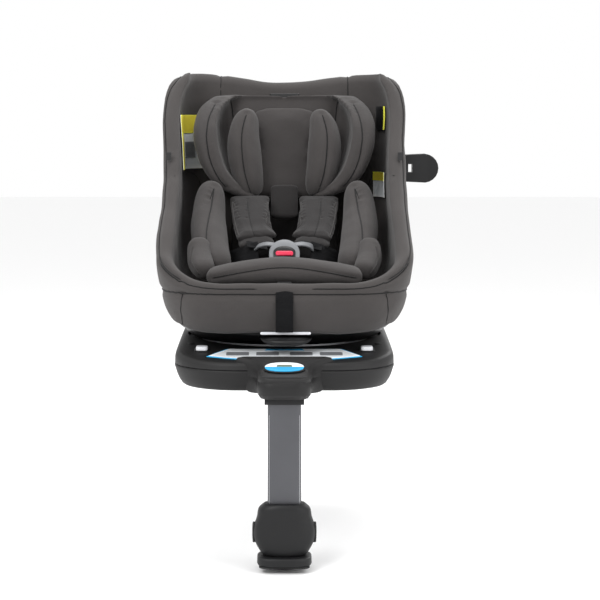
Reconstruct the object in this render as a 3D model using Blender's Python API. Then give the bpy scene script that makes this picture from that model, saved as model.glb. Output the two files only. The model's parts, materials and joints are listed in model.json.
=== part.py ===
"""Rotating convertible child car seat on an anchored base with a folding load leg.

Frame: +Z up, the child faces -Y, +X is the seat's left as the child sits. The origin is on the flat
underside of the base, on the axis that the seat turns about. All lengths are in metres.
"""
import math

import bmesh
import bpy
from mathutils import Vector

GAP = 0.0003            # clearance left between touching pieces
RUN = 0.0006            # clearance of a sliding fit

# Base
BASE_HALF_WIDTH = 0.185
BASE_FRONT = -0.300
BASE_BACK = 0.260
BASE_FRONT_RADIUS = 0.110
BASE_BACK_RADIUS = 0.060
PARTING_Z = 0.035       # joint line of the two housings
DECK_Z = 0.056          # floor of the round recess under the turntable
DECK_RADIUS = 0.172
WALL = 0.003
HUB_RADIUS = 0.048

# Load leg
LEG_PIVOT = Vector((0.0, -0.335, 0.012))
LEG_TUBE_HALF = 0.0273
LEG_TUBE_FRONT = -0.355
LEG_TUBE_BACK = -0.325
LEG_TUBE_TOP = -0.0128
LEG_TUBE_BOTTOM = -0.1745
FOOT_HOUSING_BOTTOM = -0.2585
FOOT_PAD_BOTTOM = -0.2725
SOLE_BOTTOM = -0.2758
SENSOR_BOTTOM = -0.2840
CHANNEL_TUBE_HALF = 0.036
CHANNEL_FOOT_HALF = 0.0565
CHANNEL_STEP = -0.160
CHANNEL_END = -0.030

# Anchor connectors
ARM_X = 0.140
ARM_HALF = 0.0125
ARM_BOTTOM = 0.010
ARM_TOP = 0.034
ARM_END = 0.300

# Turntable and recline
DISH_FLOOR = 0.060
DISH_TOP = 0.083
RECLINE_CENTRE = Vector((0.0, 0.0, 0.55))
CARRIAGE_RADIUS = 0.4625
CARRIAGE_REACH = 0.120

# Seat bucket
SHELL_BOTTOM = 0.089
SHELL_TOP = 0.530
SEAT_FRONT = -0.262
PAN_BOTTOM = 0.118
PAN_TOP = 0.124
FABRIC = 0.0047         # fabric skin over the outside of the shell
SHELL_WALL = 0.006
LINING = 0.030          # whole thickness of shell and padding at a wall
BACK_SLOPE = 0.35       # run back of the backrest for each metre up
BACK_AT_BOTTOM = 0.160

# Half width of the bucket at each height
BUCKET_WIDTHS = ((0.089, 0.184), (0.105, 0.196), (0.134, 0.206), (0.204, 0.219), (0.318, 0.217),
                 (0.388, 0.219), (0.461, 0.2235), (0.500, 0.216), (0.520, 0.202), (0.530, 0.184))
STRAIGHT_FROM = 0.515   # above this height the inside of the bucket keeps its width
BUCKET_LEVELS = (0.134, 0.170, 0.204, 0.318, 0.388, 0.461, 0.500, 0.520, SHELL_TOP)
# Front edge of the sides, seen from the side, from the top to the front of the seat: (y, z)
SIDE_PROFILE = ((0.188, 0.540), (0.165, 0.510), (0.112, 0.448), (0.058, 0.388), (-0.004, 0.332),
                (-0.072, 0.282), (-0.140, 0.238), (-0.205, 0.200), (-0.240, 0.180), (-0.262, 0.168))

# Harness
BUCKLE_CENTRE = Vector((0.0, -0.105, 0.203))
BUCKLE_LEAN = -35.0     # degrees about X; negative leans back
TONGUE_LENGTH = 0.020

POD_Y = 0.130           # middle of the side impact pod

# Headrest
SLIDE_AXIS = Vector((0.0, BACK_SLOPE, 1.0)).normalized()

# Joint origins of the moving bodies, in the object's frame
PIVOTS = {
    "base": Vector((0.0, 0.0, 0.0)),
    "isofix_carriage": Vector((0.0, 0.010, 0.022)),
    "isofix_jaw_left": Vector((ARM_X, 0.262, 0.0145)),
    "isofix_jaw_right": Vector((-ARM_X, 0.262, 0.0145)),
    "isofix_release_left": Vector((ARM_X + 0.0143, 0.280, 0.022)),
    "isofix_release_right": Vector((-ARM_X - 0.0143, 0.280, 0.022)),
    "isofix_button_left": Vector((0.139, -0.200, 0.0570)),
    "isofix_button_right": Vector((-0.139, -0.200, 0.0570)),
    "load_leg": LEG_PIVOT,
    "leg_button_left": Vector((0.048, -0.345, -0.2225)),
    "leg_button_right": Vector((-0.048, -0.345, -0.2225)),
    "leg_foot": Vector((0.0, -0.340, -0.2590)),
    "foot_sensor": Vector((0.0, -0.340, -0.2750)),
    "turntable": Vector((0.0, 0.0, DISH_FLOOR)),
    "rotation_lever": Vector((0.0, 0.166, 0.0735)),
    "seat": RECLINE_CENTRE,
    "buckle_button": BUCKLE_CENTRE,
    "harness_button": Vector((0.0, -0.247, 0.1720)),
    "recline_handle": Vector((0.0, -0.250, 0.0800)),
    "headrest": Vector((0.0, 0.180, 0.400)),
    "headrest_lever": Vector((0.0, 0.2370, 0.4870)),
    "side_pod": Vector((0.2300, POD_Y, 0.3545)),
}
BODY_PARENTS = {
    "isofix_carriage": "base", "isofix_jaw_left": "isofix_carriage", "isofix_jaw_right": "isofix_carriage",
    "isofix_release_left": "isofix_carriage", "isofix_release_right": "isofix_carriage",
    "isofix_button_left": "base", "isofix_button_right": "base", "load_leg": "base",
    "leg_button_left": "load_leg", "leg_button_right": "load_leg", "leg_foot": "load_leg",
    "foot_sensor": "leg_foot", "turntable": "base", "rotation_lever": "turntable", "seat": "turntable",
    "buckle_button": "seat", "harness_button": "seat", "recline_handle": "seat", "headrest": "seat",
    "headrest_lever": "headrest", "side_pod": "seat",
}

# Finish: colour, roughness, metallic
FINISHES = {
    "base_plastic": ((0.035, 0.035, 0.036), 0.55, 0.0),
    "shell_plastic": ((0.028, 0.028, 0.030), 0.45, 0.0),
    "button_grey": ((0.62, 0.63, 0.66), 0.40, 0.0),
    "button_red": ((0.62, 0.03, 0.08), 0.35, 0.0),
    "leg_paint": ((0.088, 0.090, 0.105), 0.38, 0.6),
    "steel": ((0.55, 0.56, 0.58), 0.35, 1.0),
    "black_steel": ((0.06, 0.06, 0.065), 0.45, 0.8),
    "rubber": ((0.020, 0.020, 0.021), 0.85, 0.0),
    "fabric": ((0.082, 0.075, 0.074), 0.90, 0.0),
    "pad_fabric": ((0.074, 0.068, 0.067), 0.90, 0.0),
    "webbing": ((0.022, 0.022, 0.024), 0.80, 0.0),
    "label": ((0.80, 0.83, 0.86), 0.50, 0.0),
}


# ---------------------------------------------------------------- helpers
def clear_scene():
    for obj in list(bpy.data.objects):
        bpy.data.objects.remove(obj, do_unlink=True)


def interpolate(value, table):
    """Linear interpolation in a table of (value, result) pairs of rising value."""
    for (low, low_result), (high, high_result) in zip(table, table[1:]):
        if value <= high:
            share = max(0.0, (value - low) / (high - low))
            return low_result + share * (high_result - low_result)
    return table[-1][1]


def make_solid(verts, faces):
    """A closed object in the object's frame, with its faces turned out."""
    mesh = bpy.data.meshes.new("solid")
    mesh.from_pydata([tuple(v) for v in verts], [], faces)
    edit = bmesh.new()
    edit.from_mesh(mesh)
    bmesh.ops.triangulate(edit, faces=edit.faces, quad_method="FIXED")
    bmesh.ops.recalc_face_normals(edit, faces=edit.faces)
    edit.to_mesh(mesh)
    edit.free()
    obj = bpy.data.objects.new("solid", mesh)
    bpy.context.scene.collection.objects.link(obj)
    return obj


def apply_modifiers(obj):
    bpy.context.view_layer.update()
    graph = bpy.context.evaluated_depsgraph_get()
    mesh = bpy.data.meshes.new_from_object(obj.evaluated_get(graph))
    obj.modifiers.clear()
    obj.data = mesh


def combine(obj, tools, operation):
    """Boolean each tool into the object in turn, and remove the tools."""
    for tool in tools:
        modifier = obj.modifiers.new("combine", "BOOLEAN")
        modifier.operation = operation
        modifier.object = tool
        modifier.solver = "EXACT"
        apply_modifiers(obj)
        bpy.data.objects.remove(tool, do_unlink=True)
    return obj


def cut(obj, *tools):
    return combine(obj, tools, "DIFFERENCE")


def join(obj, *tools):
    return combine(obj, tools, "UNION")


def round_edges(obj, width, segments=2, angle=40.0):
    modifier = obj.modifiers.new("round", "BEVEL")
    modifier.width = width
    modifier.segments = segments
    modifier.limit_method = "ANGLE"
    modifier.angle_limit = math.radians(angle)
    apply_modifiers(obj)
    return obj


def prism(outline, plane, low, high):
    """Extrude a closed outline, given in plane 'yz', 'xz' or 'xy', along the third axis."""
    axis = {"yz": 0, "xz": 1, "xy": 2}[plane]

    def place(point, level):
        coords = list(point)
        coords.insert(axis, level)
        return coords

    count = len(outline)
    verts = [place(p, low) for p in outline] + [place(p, high) for p in outline]
    faces = [tuple(range(count)), tuple(range(count, 2 * count))]
    faces += [(i, (i + 1) % count, count + (i + 1) % count, count + i) for i in range(count)]
    return make_solid(verts, faces)


def box(low, high):
    outline = ((low[0], low[1]), (high[0], low[1]), (high[0], high[1]), (low[0], high[1]))
    return prism(outline, "xy", low[2], high[2])


def soft_box(low, high, radius, segments=2):
    return round_edges(box(low, high), radius, segments)


def circle(centre, radius, steps):
    return [(centre[0] + radius * math.cos(2 * math.pi * k / steps),
             centre[1] + radius * math.sin(2 * math.pi * k / steps)) for k in range(steps)]


def lathe(profile, steps=40, centre=(0.0, 0.0)):
    """Turn a closed profile of (radius, z) points about a vertical axis; a radius of 0 ends on the axis."""
    verts, faces = [], []
    rows = []
    for radius, z in profile:
        if radius == 0.0:
            rows.append([len(verts)] * steps)
            verts.append((centre[0], centre[1], z))
        else:
            rows.append(list(range(len(verts), len(verts) + steps)))
            verts += [(x, y, z) for x, y in circle(centre, radius, steps)]
    for low, high in zip(rows, rows[1:] + rows[:1]):
        for k in range(steps):
            m = (k + 1) % steps
            corners = [low[k], low[m], high[m], high[k]]
            unique = list(dict.fromkeys(corners))
            if len(unique) > 2:
                faces.append(tuple(unique))
    return make_solid(verts, faces)


def half_outline(half_width, front, back, front_radius, back_radius, steps=5):
    """Right half of a rounded rectangle seen from above, from its front to its back."""
    points = []
    corners = ((front + front_radius, front_radius, -90.0), (back - back_radius, back_radius, 0.0))
    for centre_y, radius, start in corners:
        for k in range(steps + 1):
            angle = math.radians(start + 90.0 * k / steps)
            points.append((half_width - radius + radius * math.cos(angle), centre_y + radius * math.sin(angle)))
    return points


def ring(half, height):
    """Closed mirror-image ring from a right half; height is a number or a function of y."""
    level = height if callable(height) else lambda y: height
    right = [Vector((x, y, level(y))) for x, y in half]
    return right + [Vector((-p.x, p.y, p.z)) for p in reversed(right)]


def loft(rings):
    """Skin a stack of mirror-image rings and close its ends with strips across the width."""
    count = len(rings[0])
    verts = [p for points in rings for p in points]
    faces = []
    for k in range(len(rings) - 1):
        low, high = k * count, (k + 1) * count
        for i in range(count):
            j = (i + 1) % count
            faces.append((low + i, low + j, high + j, high + i))
    for start in (0, (len(rings) - 1) * count):
        for i in range(count // 2 - 1):
            faces.append((start + i, start + i + 1, start + count - 2 - i, start + count - 1 - i))
    return make_solid(verts, faces)


def sweep(sections):
    """Skin a row of closed sections with the same number of points, and fill both ends."""
    count = len(sections[0])
    verts = [p for section in sections for p in section]
    faces = [tuple(range(count)), tuple(range(len(verts) - count, len(verts)))]
    for k in range(len(sections) - 1):
        low, high = k * count, (k + 1) * count
        faces += [(low + i, low + (i + 1) % count, high + (i + 1) % count, high + i) for i in range(count)]
    return make_solid(verts, faces)


def strap(path, width, thickness, across=(1.0, 0.0, 0.0)):
    """Flat webbing along a path; across is the direction of its width."""
    points = [Vector(p) for p in path]
    side = Vector(across).normalized()
    sections = []
    for k, point in enumerate(points):
        along = (points[min(k + 1, len(points) - 1)] - points[max(k - 1, 0)]).normalized()
        wide = (side - along * side.dot(along)).normalized() * (width / 2)
        thick = along.cross(wide).normalized() * (thickness / 2)
        sections.append([point + wide + thick, point + wide - thick, point - wide - thick, point - wide + thick])
    return sweep(sections)


def cushion(centre, along, across, length, width, depth, steps=8, sides=10):
    """Pillow: an ellipse-like section swept along an axis and tapered at both ends."""
    axis = Vector(along).normalized()
    side = (Vector(across) - axis * Vector(across).dot(axis)).normalized()
    normal = axis.cross(side)
    sections = []
    for k in range(steps + 1):
        t = -1.0 + 2.0 * k / steps
        swell = 0.45 + 0.55 * math.sqrt(max(0.0, 1.0 - t ** 4))
        middle = Vector(centre) + axis * (t * length / 2)
        section = []
        for m in range(sides):
            angle = 2 * math.pi * m / sides
            c, s = math.cos(angle), math.sin(angle)
            reach = (abs(c) ** 3 + abs(s) ** 3) ** (-1 / 3)
            section.append(middle + side * (c * reach * swell * width / 2) + normal * (s * reach * swell * depth / 2))
        sections.append(section)
    return sweep(sections)


def arc_z(y, radius):
    """Height of an arc below the recline centre."""
    return RECLINE_CENTRE.z - math.sqrt(radius ** 2 - (y - RECLINE_CENTRE.y) ** 2)


def mirror_x(point, side):
    return (point[0] * side, point[1], point[2])


def new_material(name, finish):
    colour, roughness, metallic = FINISHES[finish]
    material = bpy.data.materials.new(name + "_finish")
    material.use_nodes = True
    shader = material.node_tree.nodes["Principled BSDF"]
    shader.inputs["Base Color"].default_value = (*colour, 1.0)
    shader.inputs["Roughness"].default_value = roughness
    shader.inputs["Metallic"].default_value = metallic
    material.diffuse_color = (*colour, 1.0)
    return material


def place(name, obj, body, finish, smooth_angle=35.0):
    """Name a piece, finish it, and hang it on its body with its origin on the body's joint."""
    pivot = PIVOTS[body]
    for vertex in obj.data.vertices:
        vertex.co -= pivot
    obj.name = name
    obj.data.name = name
    obj.data.materials.clear()
    obj.data.materials.append(new_material(name, finish))
    obj.data.shade_smooth()
    obj.data.set_sharp_from_angle(angle=math.radians(smooth_angle))
    obj.parent = bpy.data.objects[body + "_joint"]
    return obj


def make_joint_empties():
    for body, pivot in PIVOTS.items():
        empty = bpy.data.objects.new(body + "_joint", None)
        empty.empty_display_size = 0.03
        bpy.context.scene.collection.objects.link(empty)
        parent = BODY_PARENTS.get(body)
        if parent:
            empty.parent = bpy.data.objects[parent + "_joint"]
            empty.location = pivot - PIVOTS[parent]
        else:
            empty.location = pivot


# ---------------------------------------------------------------- base
def base_top(y):
    return interpolate(y, ((-0.300, 0.0476), (-0.180, 0.0585), (0.050, 0.0660), (0.260, 0.0670)))


def base_half(inset):
    return half_outline(BASE_HALF_WIDTH - inset, BASE_FRONT + inset, BASE_BACK - inset,
                        BASE_FRONT_RADIUS - inset, BASE_BACK_RADIUS - inset)


def channel_block(grow, low, high):
    """The space under the base that the folded leg lies in, grown by a wall."""
    tube = CHANNEL_TUBE_HALF + grow
    foot = CHANNEL_FOOT_HALF + grow
    outline = ((-tube, -0.360), (tube, -0.360), (tube, CHANNEL_STEP - grow), (foot, CHANNEL_STEP - grow),
               (foot, CHANNEL_END + grow), (-foot, CHANNEL_END + grow), (-foot, CHANNEL_STEP - grow),
               (-tube, CHANNEL_STEP - grow))
    return prism(outline, "xy", low, high)


def bulge_half(inset):
    return half_outline(0.0425 - inset, -0.375 + inset, -0.285, 0.026 - inset, 0.004, steps=4)


def make_lower_housing():
    body = loft([ring(base_half(0.020), 0.0), ring(base_half(0.013), 0.0035), ring(base_half(0.005), 0.018),
                 ring(base_half(0.0), PARTING_Z - GAP)])
    boss = loft([ring(bulge_half(0.004), -0.0025), ring(bulge_half(0.0), 0.003),
                 ring(bulge_half(0.0), PARTING_Z - GAP)])
    hollow = loft([ring(base_half(0.024), WALL), ring(base_half(0.008), 0.018), ring(base_half(WALL), 0.040)])
    cut(hollow, channel_block(WALL, -0.010, 0.060))
    join(body, boss)
    cut(body, hollow, channel_block(0.0, -0.020, 0.050))
    for side in (-1, 1):
        x = ARM_X * side
        cut(body, box((x - ARM_HALF - 0.001, 0.200, ARM_BOTTOM - 0.001), (x + ARM_HALF + 0.001, 0.300, 0.050)))
    cut(body, prism(circle((LEG_PIVOT.y, LEG_PIVOT.z), 0.004 + GAP, 16), "yz", -0.060, 0.060))
    place("base_lower_housing", body, "base", "base_plastic")


def make_upper_housing():
    body = loft([ring(base_half(0.0), PARTING_Z + GAP), ring(base_half(0.0), lambda y: base_top(y) - 0.009),
                 ring(base_half(0.003), lambda y: base_top(y) - 0.0025), ring(base_half(0.009), base_top)])
    boss = loft([ring(bulge_half(0.0), PARTING_Z + GAP), ring(bulge_half(0.0), 0.0420),
                 ring(bulge_half(0.004), 0.0475), ring(bulge_half(0.012), 0.0500)])
    hollow = loft([ring(base_half(WALL), 0.030),
                   ring(base_half(WALL), lambda y: min(base_top(y) - 0.012, DECK_Z - 0.0035)),
                   ring(base_half(0.009), lambda y: min(base_top(y) - 0.0035, DECK_Z - 0.0035))])
    join(body, boss)
    cut(hollow, box((-0.05, -0.400, 0.0), (0.05, -0.285, 0.1)))
    cut(body, hollow)
    join(body, channel_block(WALL, PARTING_Z + GAP, PARTING_Z + WALL))
    cut(body, lathe(((0.0, DECK_Z), (DECK_RADIUS, DECK_Z), (DECK_RADIUS, 0.090), (0.0, 0.090)), 48))
    cut(body, lathe(((0.0, 0.0435), (HUB_RADIUS + 0.001, 0.0435), (HUB_RADIUS + 0.001, 0.090), (0.0, 0.090)), 32))
    for side in (-1, 1):
        x = 0.139 * side
        cut(body, box((x - 0.0105, -0.2155, 0.040), (x + 0.0105, -0.1845, 0.080)))
    place("base_upper_housing", body, "base", "base_plastic")


def make_base_fittings():
    frame = prism(((-0.150, -0.140), (0.150, -0.140), (0.150, 0.180), (0.110, 0.220), (-0.110, 0.220),
                   (-0.150, 0.180)), "xy", 0.0390, 0.0420)
    place("base_frame_plate", frame, "base", "steel")
    low, high = DECK_Z + GAP, DISH_FLOOR - GAP
    race = lathe(((0.110, low), (0.150, low), (0.150, high), (0.110, high)), 40)
    place("turntable_bearing_ring", race, "base", "steel")
    pin = prism(circle((LEG_PIVOT.y, LEG_PIVOT.z), 0.004, 16), "yz", -0.0410, 0.0410)
    place("leg_hinge_pin", pin, "base", "steel")
    lens = prism([(0.031 * math.cos(2 * math.pi * k / 24), -0.332 + 0.0135 * math.sin(2 * math.pi * k / 24))
                  for k in range(24)], "xy", 0.0503, 0.0513)
    place("leg_indicator_lens", lens, "base", "label")
    slope_low = Vector((0.0, -0.284, base_top(-0.284) + GAP))
    slope_high = Vector((0.0, -0.198, base_top(-0.198) + GAP))
    plate = []
    for lift in (0.0, 0.0010):
        for half, point in ((0.126, slope_low), (0.118, slope_low.lerp(slope_high, 0.12)), (0.078, slope_high)):
            plate.append(Vector((half, point.y, point.z + lift)))
            plate.append(Vector((-half, point.y, point.z + lift)))
    faces = [(0, 1, 3, 2), (2, 3, 5, 4), (6, 7, 9, 8), (8, 9, 11, 10), (0, 1, 7, 6), (4, 5, 11, 10),
             (0, 2, 8, 6), (2, 4, 10, 8), (1, 3, 9, 7), (3, 5, 11, 9)]
    place("guide_label_plate", make_solid(plate, faces), "base", "label")


# ---------------------------------------------------------------- anchor connectors
def make_connectors():
    bar = box((-ARM_X + ARM_HALF + GAP, 0.0, 0.012), (ARM_X - ARM_HALF - GAP, 0.020, 0.032))
    place("isofix_crossbar", bar, "isofix_carriage", "black_steel")
    for side, label in ((1, "left"), (-1, "right")):
        x = ARM_X * side
        arm = soft_box((x - ARM_HALF, -0.100, ARM_BOTTOM), (x + ARM_HALF, ARM_END, ARM_TOP), 0.002, 1)
        cut(arm, box((x - 0.02, 0.278, 0.0185), (x + 0.02, 0.320, 0.0265)))
        cut(arm, box((x - 0.004, 0.245, 0.0), (x + 0.004, 0.320, 0.050)))
        place("isofix_arm_" + label, arm, "isofix_carriage", "black_steel")
        jaw_outline = ((0.256, 0.0105), (0.268, 0.0105), (0.283, 0.0130), (0.2965, 0.0150), (0.2965, 0.0310),
                       (0.2900, 0.0310), (0.2885, 0.0180), (0.268, 0.0180), (0.256, 0.0180))
        jaw = prism(jaw_outline, "yz", x - 0.003, x + 0.003)
        place("isofix_jaw_" + label, jaw, "isofix_jaw_" + label, "steel")
        inner = (ARM_X + ARM_HALF + GAP) * side
        outer = (ARM_X + ARM_HALF + 0.0035) * side
        slider = soft_box((min(inner, outer), 0.270, 0.015), (max(inner, outer), 0.290, 0.029), 0.0008, 1)
        place("isofix_release_" + label, slider, "isofix_release_" + label, "button_grey")
        cap = soft_box((0.139 * side - 0.0098, -0.2148, 0.0480), (0.139 * side + 0.0098, -0.1852, 0.0635), 0.0035, 3)
        place("isofix_adjust_button_" + label, cap, "isofix_button_" + label, "button_grey")


# ---------------------------------------------------------------- load leg
def make_leg():
    centre = (LEG_PIVOT.y, LEG_PIVOT.z)
    hub = prism(circle(centre, 0.018, 24), "yz", -0.032, 0.032)
    neck = prism(((-0.3525, 0.012), (-0.3575, LEG_TUBE_TOP + GAP), (-0.3225, LEG_TUBE_TOP + GAP), (-0.3180, 0.012)),
                 "yz", -0.032, 0.032)
    knuckle = cut(join(hub, neck), prism(circle(centre, 0.0041, 16), "yz", -0.050, 0.050))
    place("leg_knuckle", knuckle, "load_leg", "base_plastic")
    tube = box((-LEG_TUBE_HALF, LEG_TUBE_FRONT, LEG_TUBE_BOTTOM), (LEG_TUBE_HALF, LEG_TUBE_BACK, LEG_TUBE_TOP))
    core = box((-0.0253, -0.3530, -0.300), (0.0253, -0.3270, 0.010))
    place("leg_outer_tube", cut(tube, core), "load_leg", "leg_paint")

    half_front = ((0.0345, LEG_TUBE_BOTTOM - GAP), (0.0430, -0.184), (0.0440, -0.196), (0.0505, -0.219),
                  (0.0490, -0.236), (0.0450, FOOT_HOUSING_BOTTOM))
    outline = list(half_front) + [(-x, z) for x, z in reversed(half_front)]
    housing = round_edges(prism(outline, "xz", -0.3720, -0.3180), 0.005, 2, 50.0)
    cut(housing, box((-0.0257, -0.3534, -0.300), (0.0257, -0.3266, 0.010)))
    for side, label in ((1, "left"), (-1, "right")):
        low, high = sorted((0.0400 * side, 0.0600 * side))
        cut(housing, box((low, -0.3580, -0.2370), (high, -0.3320, -0.2080)))
        pad_front = ((0.0448, -0.2364), (0.0505, -0.2364), (0.0522, -0.2280), (0.0525, -0.2190), (0.0505, -0.2086),
                     (0.0448, -0.2086))
        button = prism([(x * side, z) for x, z in pad_front], "xz", -0.3574, -0.3326)
        place("leg_adjust_button_" + label, button, "leg_button_" + label, "rubber")
    place("leg_foot_housing", housing, "load_leg", "base_plastic")

    inner = box((-0.0247, -0.3524, FOOT_HOUSING_BOTTOM), (0.0247, -0.3276, -0.030))
    cut(inner, box((-0.0227, -0.3504, -0.300), (0.0227, -0.3296, 0.010)))
    place("leg_inner_tube", inner, "leg_foot", "steel")
    pad = loft([ring(half_outline(0.0425, -0.383, -0.3140, 0.014, 0.010, 4), FOOT_HOUSING_BOTTOM - GAP),
                ring(half_outline(0.0437, -0.385, -0.3132, 0.014, 0.010, 4), FOOT_HOUSING_BOTTOM - 0.006),
                ring(half_outline(0.0425, -0.383, -0.3140, 0.014, 0.010, 4), FOOT_PAD_BOTTOM)])
    cut(pad, box((-0.0156, -0.3486, -0.300), (0.0156, -0.3314, -0.2640)))
    place("leg_foot_pad", pad, "leg_foot", "base_plastic")
    sole_half = half_outline(0.0410, -0.381, -0.3155, 0.013, 0.009, 4)
    sole = loft([ring(sole_half, SOLE_BOTTOM), ring(sole_half, FOOT_PAD_BOTTOM - GAP)])
    cut(sole, box((-0.0156, -0.3486, -0.300), (0.0156, -0.3314, -0.2640)))
    place("leg_foot_sole", sole, "leg_foot", "rubber")
    sensor = soft_box((-0.0150, -0.3480, SENSOR_BOTTOM), (0.0150, -0.3320, -0.2695), 0.002, 1)
    place("foot_sensor_pin", sensor, "foot_sensor", "rubber")


# ---------------------------------------------------------------- turntable
def make_turntable():
    profile = ((0.0, 0.0440), (HUB_RADIUS, 0.0440), (HUB_RADIUS, DISH_FLOOR), (0.158, DISH_FLOOR),
               (0.168, 0.0670), (0.176, 0.0760), (0.179, DISH_TOP), (0.175, DISH_TOP), (0.172, 0.0770),
               (0.165, 0.0690), (0.160, 0.0650), (0.0, 0.0650))
    dish = lathe(profile, 48)
    cut(dish, box((-0.026, 0.140, 0.0690), (0.026, 0.200, 0.0782)))
    place("turntable_dish", dish, "turntable", "shell_plastic")
    sections = []
    for k in range(11):
        y = -CARRIAGE_REACH + 2 * CARRIAGE_REACH * k / 10
        floor = arc_z(y, CARRIAGE_RADIUS)
        cheek = floor + 0.008
        sections.append([Vector((x, y, z)) for x, z in (
            (-0.100, 0.0653), (0.100, 0.0653), (0.100, cheek), (0.0865, cheek), (0.0865, floor), (-0.0865, floor),
            (-0.0865, cheek), (-0.100, cheek))])
    carriage = sweep(sections)
    cut(carriage, box((-0.080, -0.110, 0.050), (0.080, 0.110, 0.0820)))
    place("recline_carriage", carriage, "turntable", "shell_plastic")
    lever = soft_box((-0.025, 0.150, 0.0696), (0.025, 0.190, 0.0776), 0.0025, 1)
    place("rotation_release_lever", lever, "rotation_lever", "button_grey")


# ---------------------------------------------------------------- seat bucket
def bucket_half(z, inset, width_z=None):
    """Right half of the bucket's outline at a height; its width can be taken from another height."""
    half = interpolate(width_z or z, BUCKET_WIDTHS) - inset
    back = BACK_AT_BOTTOM + BACK_SLOPE * (z - 0.10) - inset
    front = interpolate(z, ((0.089, -0.240), (0.134, -0.256), (0.168, SEAT_FRONT))) + inset
    return half_outline(half, front, back, 0.110 - inset, 0.085 - inset)


def seat_hem(y):
    """Bottom edge of the bucket: level in front, then an arc that clears the carriage behind."""
    return max(SHELL_BOTTOM, arc_z(y, 0.465)) if y > 0 else SHELL_BOTTOM


def bucket(inset, bottom, tall=False):
    """Solid of the bucket's outline from a bottom, a number or a function of y, to its top or beyond."""
    lowest = bottom if callable(bottom) else lambda y: bottom
    rings = [ring(bucket_half(max(SHELL_BOTTOM, lowest(0.0)), inset), lowest)]
    clear = max(lowest(SEAT_FRONT), lowest(BACK_AT_BOTTOM)) + 0.003
    levels = [z for z in BUCKET_LEVELS if z > clear]
    if tall:
        levels = [z for z in levels if z < STRAIGHT_FROM] + [STRAIGHT_FROM, SHELL_TOP + 0.070]
    rings += [ring(bucket_half(z, inset, min(z, STRAIGHT_FROM) if tall else z), z) for z in levels]
    return loft(rings)


def front_space(shift):
    """Everything in front of and above the sides' front edge, moved back and down by a shift."""
    outline = [(y + shift, z - shift * 0.6) for y, z in SIDE_PROFILE]
    outline += [(-0.45, outline[-1][1]), (-0.45, 0.70), (outline[0][0], 0.70)]
    return prism(outline, "yz", -0.30, 0.30)


def carriage_path():
    """Space behind the carriage that the reclining shell has to leave open."""
    steps = [k * 0.02 for k in range(11)]
    outline = [(y, arc_z(y, CARRIAGE_RADIUS - 0.0095)) for y in steps] + [(0.200, 0.030), (0.0, 0.030)]
    return prism(outline, "yz", -0.102, 0.102)


def cushion_floor(y):
    return 0.150 - 0.06 * y


def make_shell():
    shell = bucket(FABRIC + GAP, seat_hem)
    cut(shell, front_space(0.014))
    cut(shell, bucket(FABRIC + GAP + SHELL_WALL, PAN_TOP, tall=True))
    under = loft([ring(bucket_half(0.089, FABRIC + GAP + SHELL_WALL), 0.050),
                  ring(bucket_half(0.110, FABRIC + GAP + SHELL_WALL), PAN_BOTTOM)])
    cut(shell, under, carriage_path())
    cut(shell, box((0.195, POD_Y - 0.018, 0.3370), (0.240, POD_Y + 0.018, 0.3720)))
    place("seat_shell", shell, "seat", "shell_plastic")


def make_cover():
    cover = bucket(0.0, seat_hem)
    cut(cover, front_space(0.0))
    cut(cover, bucket(LINING, cushion_floor, tall=True))
    plug = bucket(FABRIC, 0.040)
    cut(plug, front_space(0.014 - GAP))
    cut(plug, bucket(FABRIC + 2 * GAP + SHELL_WALL, PAN_TOP + GAP, tall=True))
    cut(cover, plug)
    around = [(-0.150, 0.120), (-0.130, 0.030), (0.60, 0.030), (0.60, 0.70), (0.232, 0.70)]
    behind = prism([(y + 0.044, z - 0.015) for y, z in SIDE_PROFILE] + around, "yz", -0.40, 0.40)
    cut(behind, bucket(FABRIC + GAP / 2, 0.020))
    cut(cover, behind, carriage_path())
    cut(cover, box((-0.0205, -0.2490, 0.1575), (0.0205, -0.2350, 0.190)))
    place("seat_cover", cover, "seat", "fabric")


def make_rocker():
    sections = []
    for k in range(11):
        y = -0.150 + 0.280 * k / 10
        low = arc_z(y, CARRIAGE_RADIUS - RUN)
        sections.append([Vector((x, y, z)) for x, z in (
            (-0.084, low), (0.084, low), (0.084, PAN_BOTTOM - GAP), (-0.084, PAN_BOTTOM - GAP))])
    place("recline_rocker", sweep(sections), "seat", "shell_plastic")


# ---------------------------------------------------------------- padding
def backrest_y(z):
    """Front surface of the padded backrest."""
    return BACK_AT_BOTTOM + BACK_SLOPE * (z - 0.10) - LINING


def make_insert():
    top = ((-0.228, 0.178), (-0.221, 0.189), (-0.200, 0.195), (-0.175, 0.189), (-0.135, 0.177), (-0.050, 0.169),
           (0.050, 0.167), (0.115, 0.169))
    sections = []
    for y, z in top:
        low = cushion_floor(y) + 0.0006
        sections.append([Vector(p) for p in ((-0.100, y, low), (0.100, y, low), (0.103, y, low + 0.004),
                                             (0.098, y, z - 0.003), (0.085, y, z), (-0.085, y, z),
                                             (-0.098, y, z - 0.003), (-0.103, y, low + 0.004))])
    place("insert_seat_pad", sweep(sections), "seat", "pad_fabric")
    low, high = 0.1730, 0.2980
    outline = ((backrest_y(low) - 0.0006, low), (backrest_y(high) - 0.0006, high),
               (backrest_y(high) - 0.016, high), (backrest_y(low) - 0.020, low + 0.004))
    back = round_edges(prism(outline, "yz", -0.100, 0.100), 0.005, 2)
    place("insert_back_pad", back, "seat", "pad_fabric")
    for side, label in ((1, "left"), (-1, "right")):
        bolster = cushion((0.1310 * side, 0.000, 0.2400), (0.0, 0.75, 0.66), (1.0, 0.0, 0.0), 0.200, 0.050, 0.085)
        place("insert_bolster_" + label, bolster, "seat", "pad_fabric")
        low, high = sorted((0.203 * side, 0.212 * side))
        holder = box((low, 0.0320, 0.371), (high, 0.0386, 0.385))
        place("tongue_holder_" + label, holder, "seat", "rubber")


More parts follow.
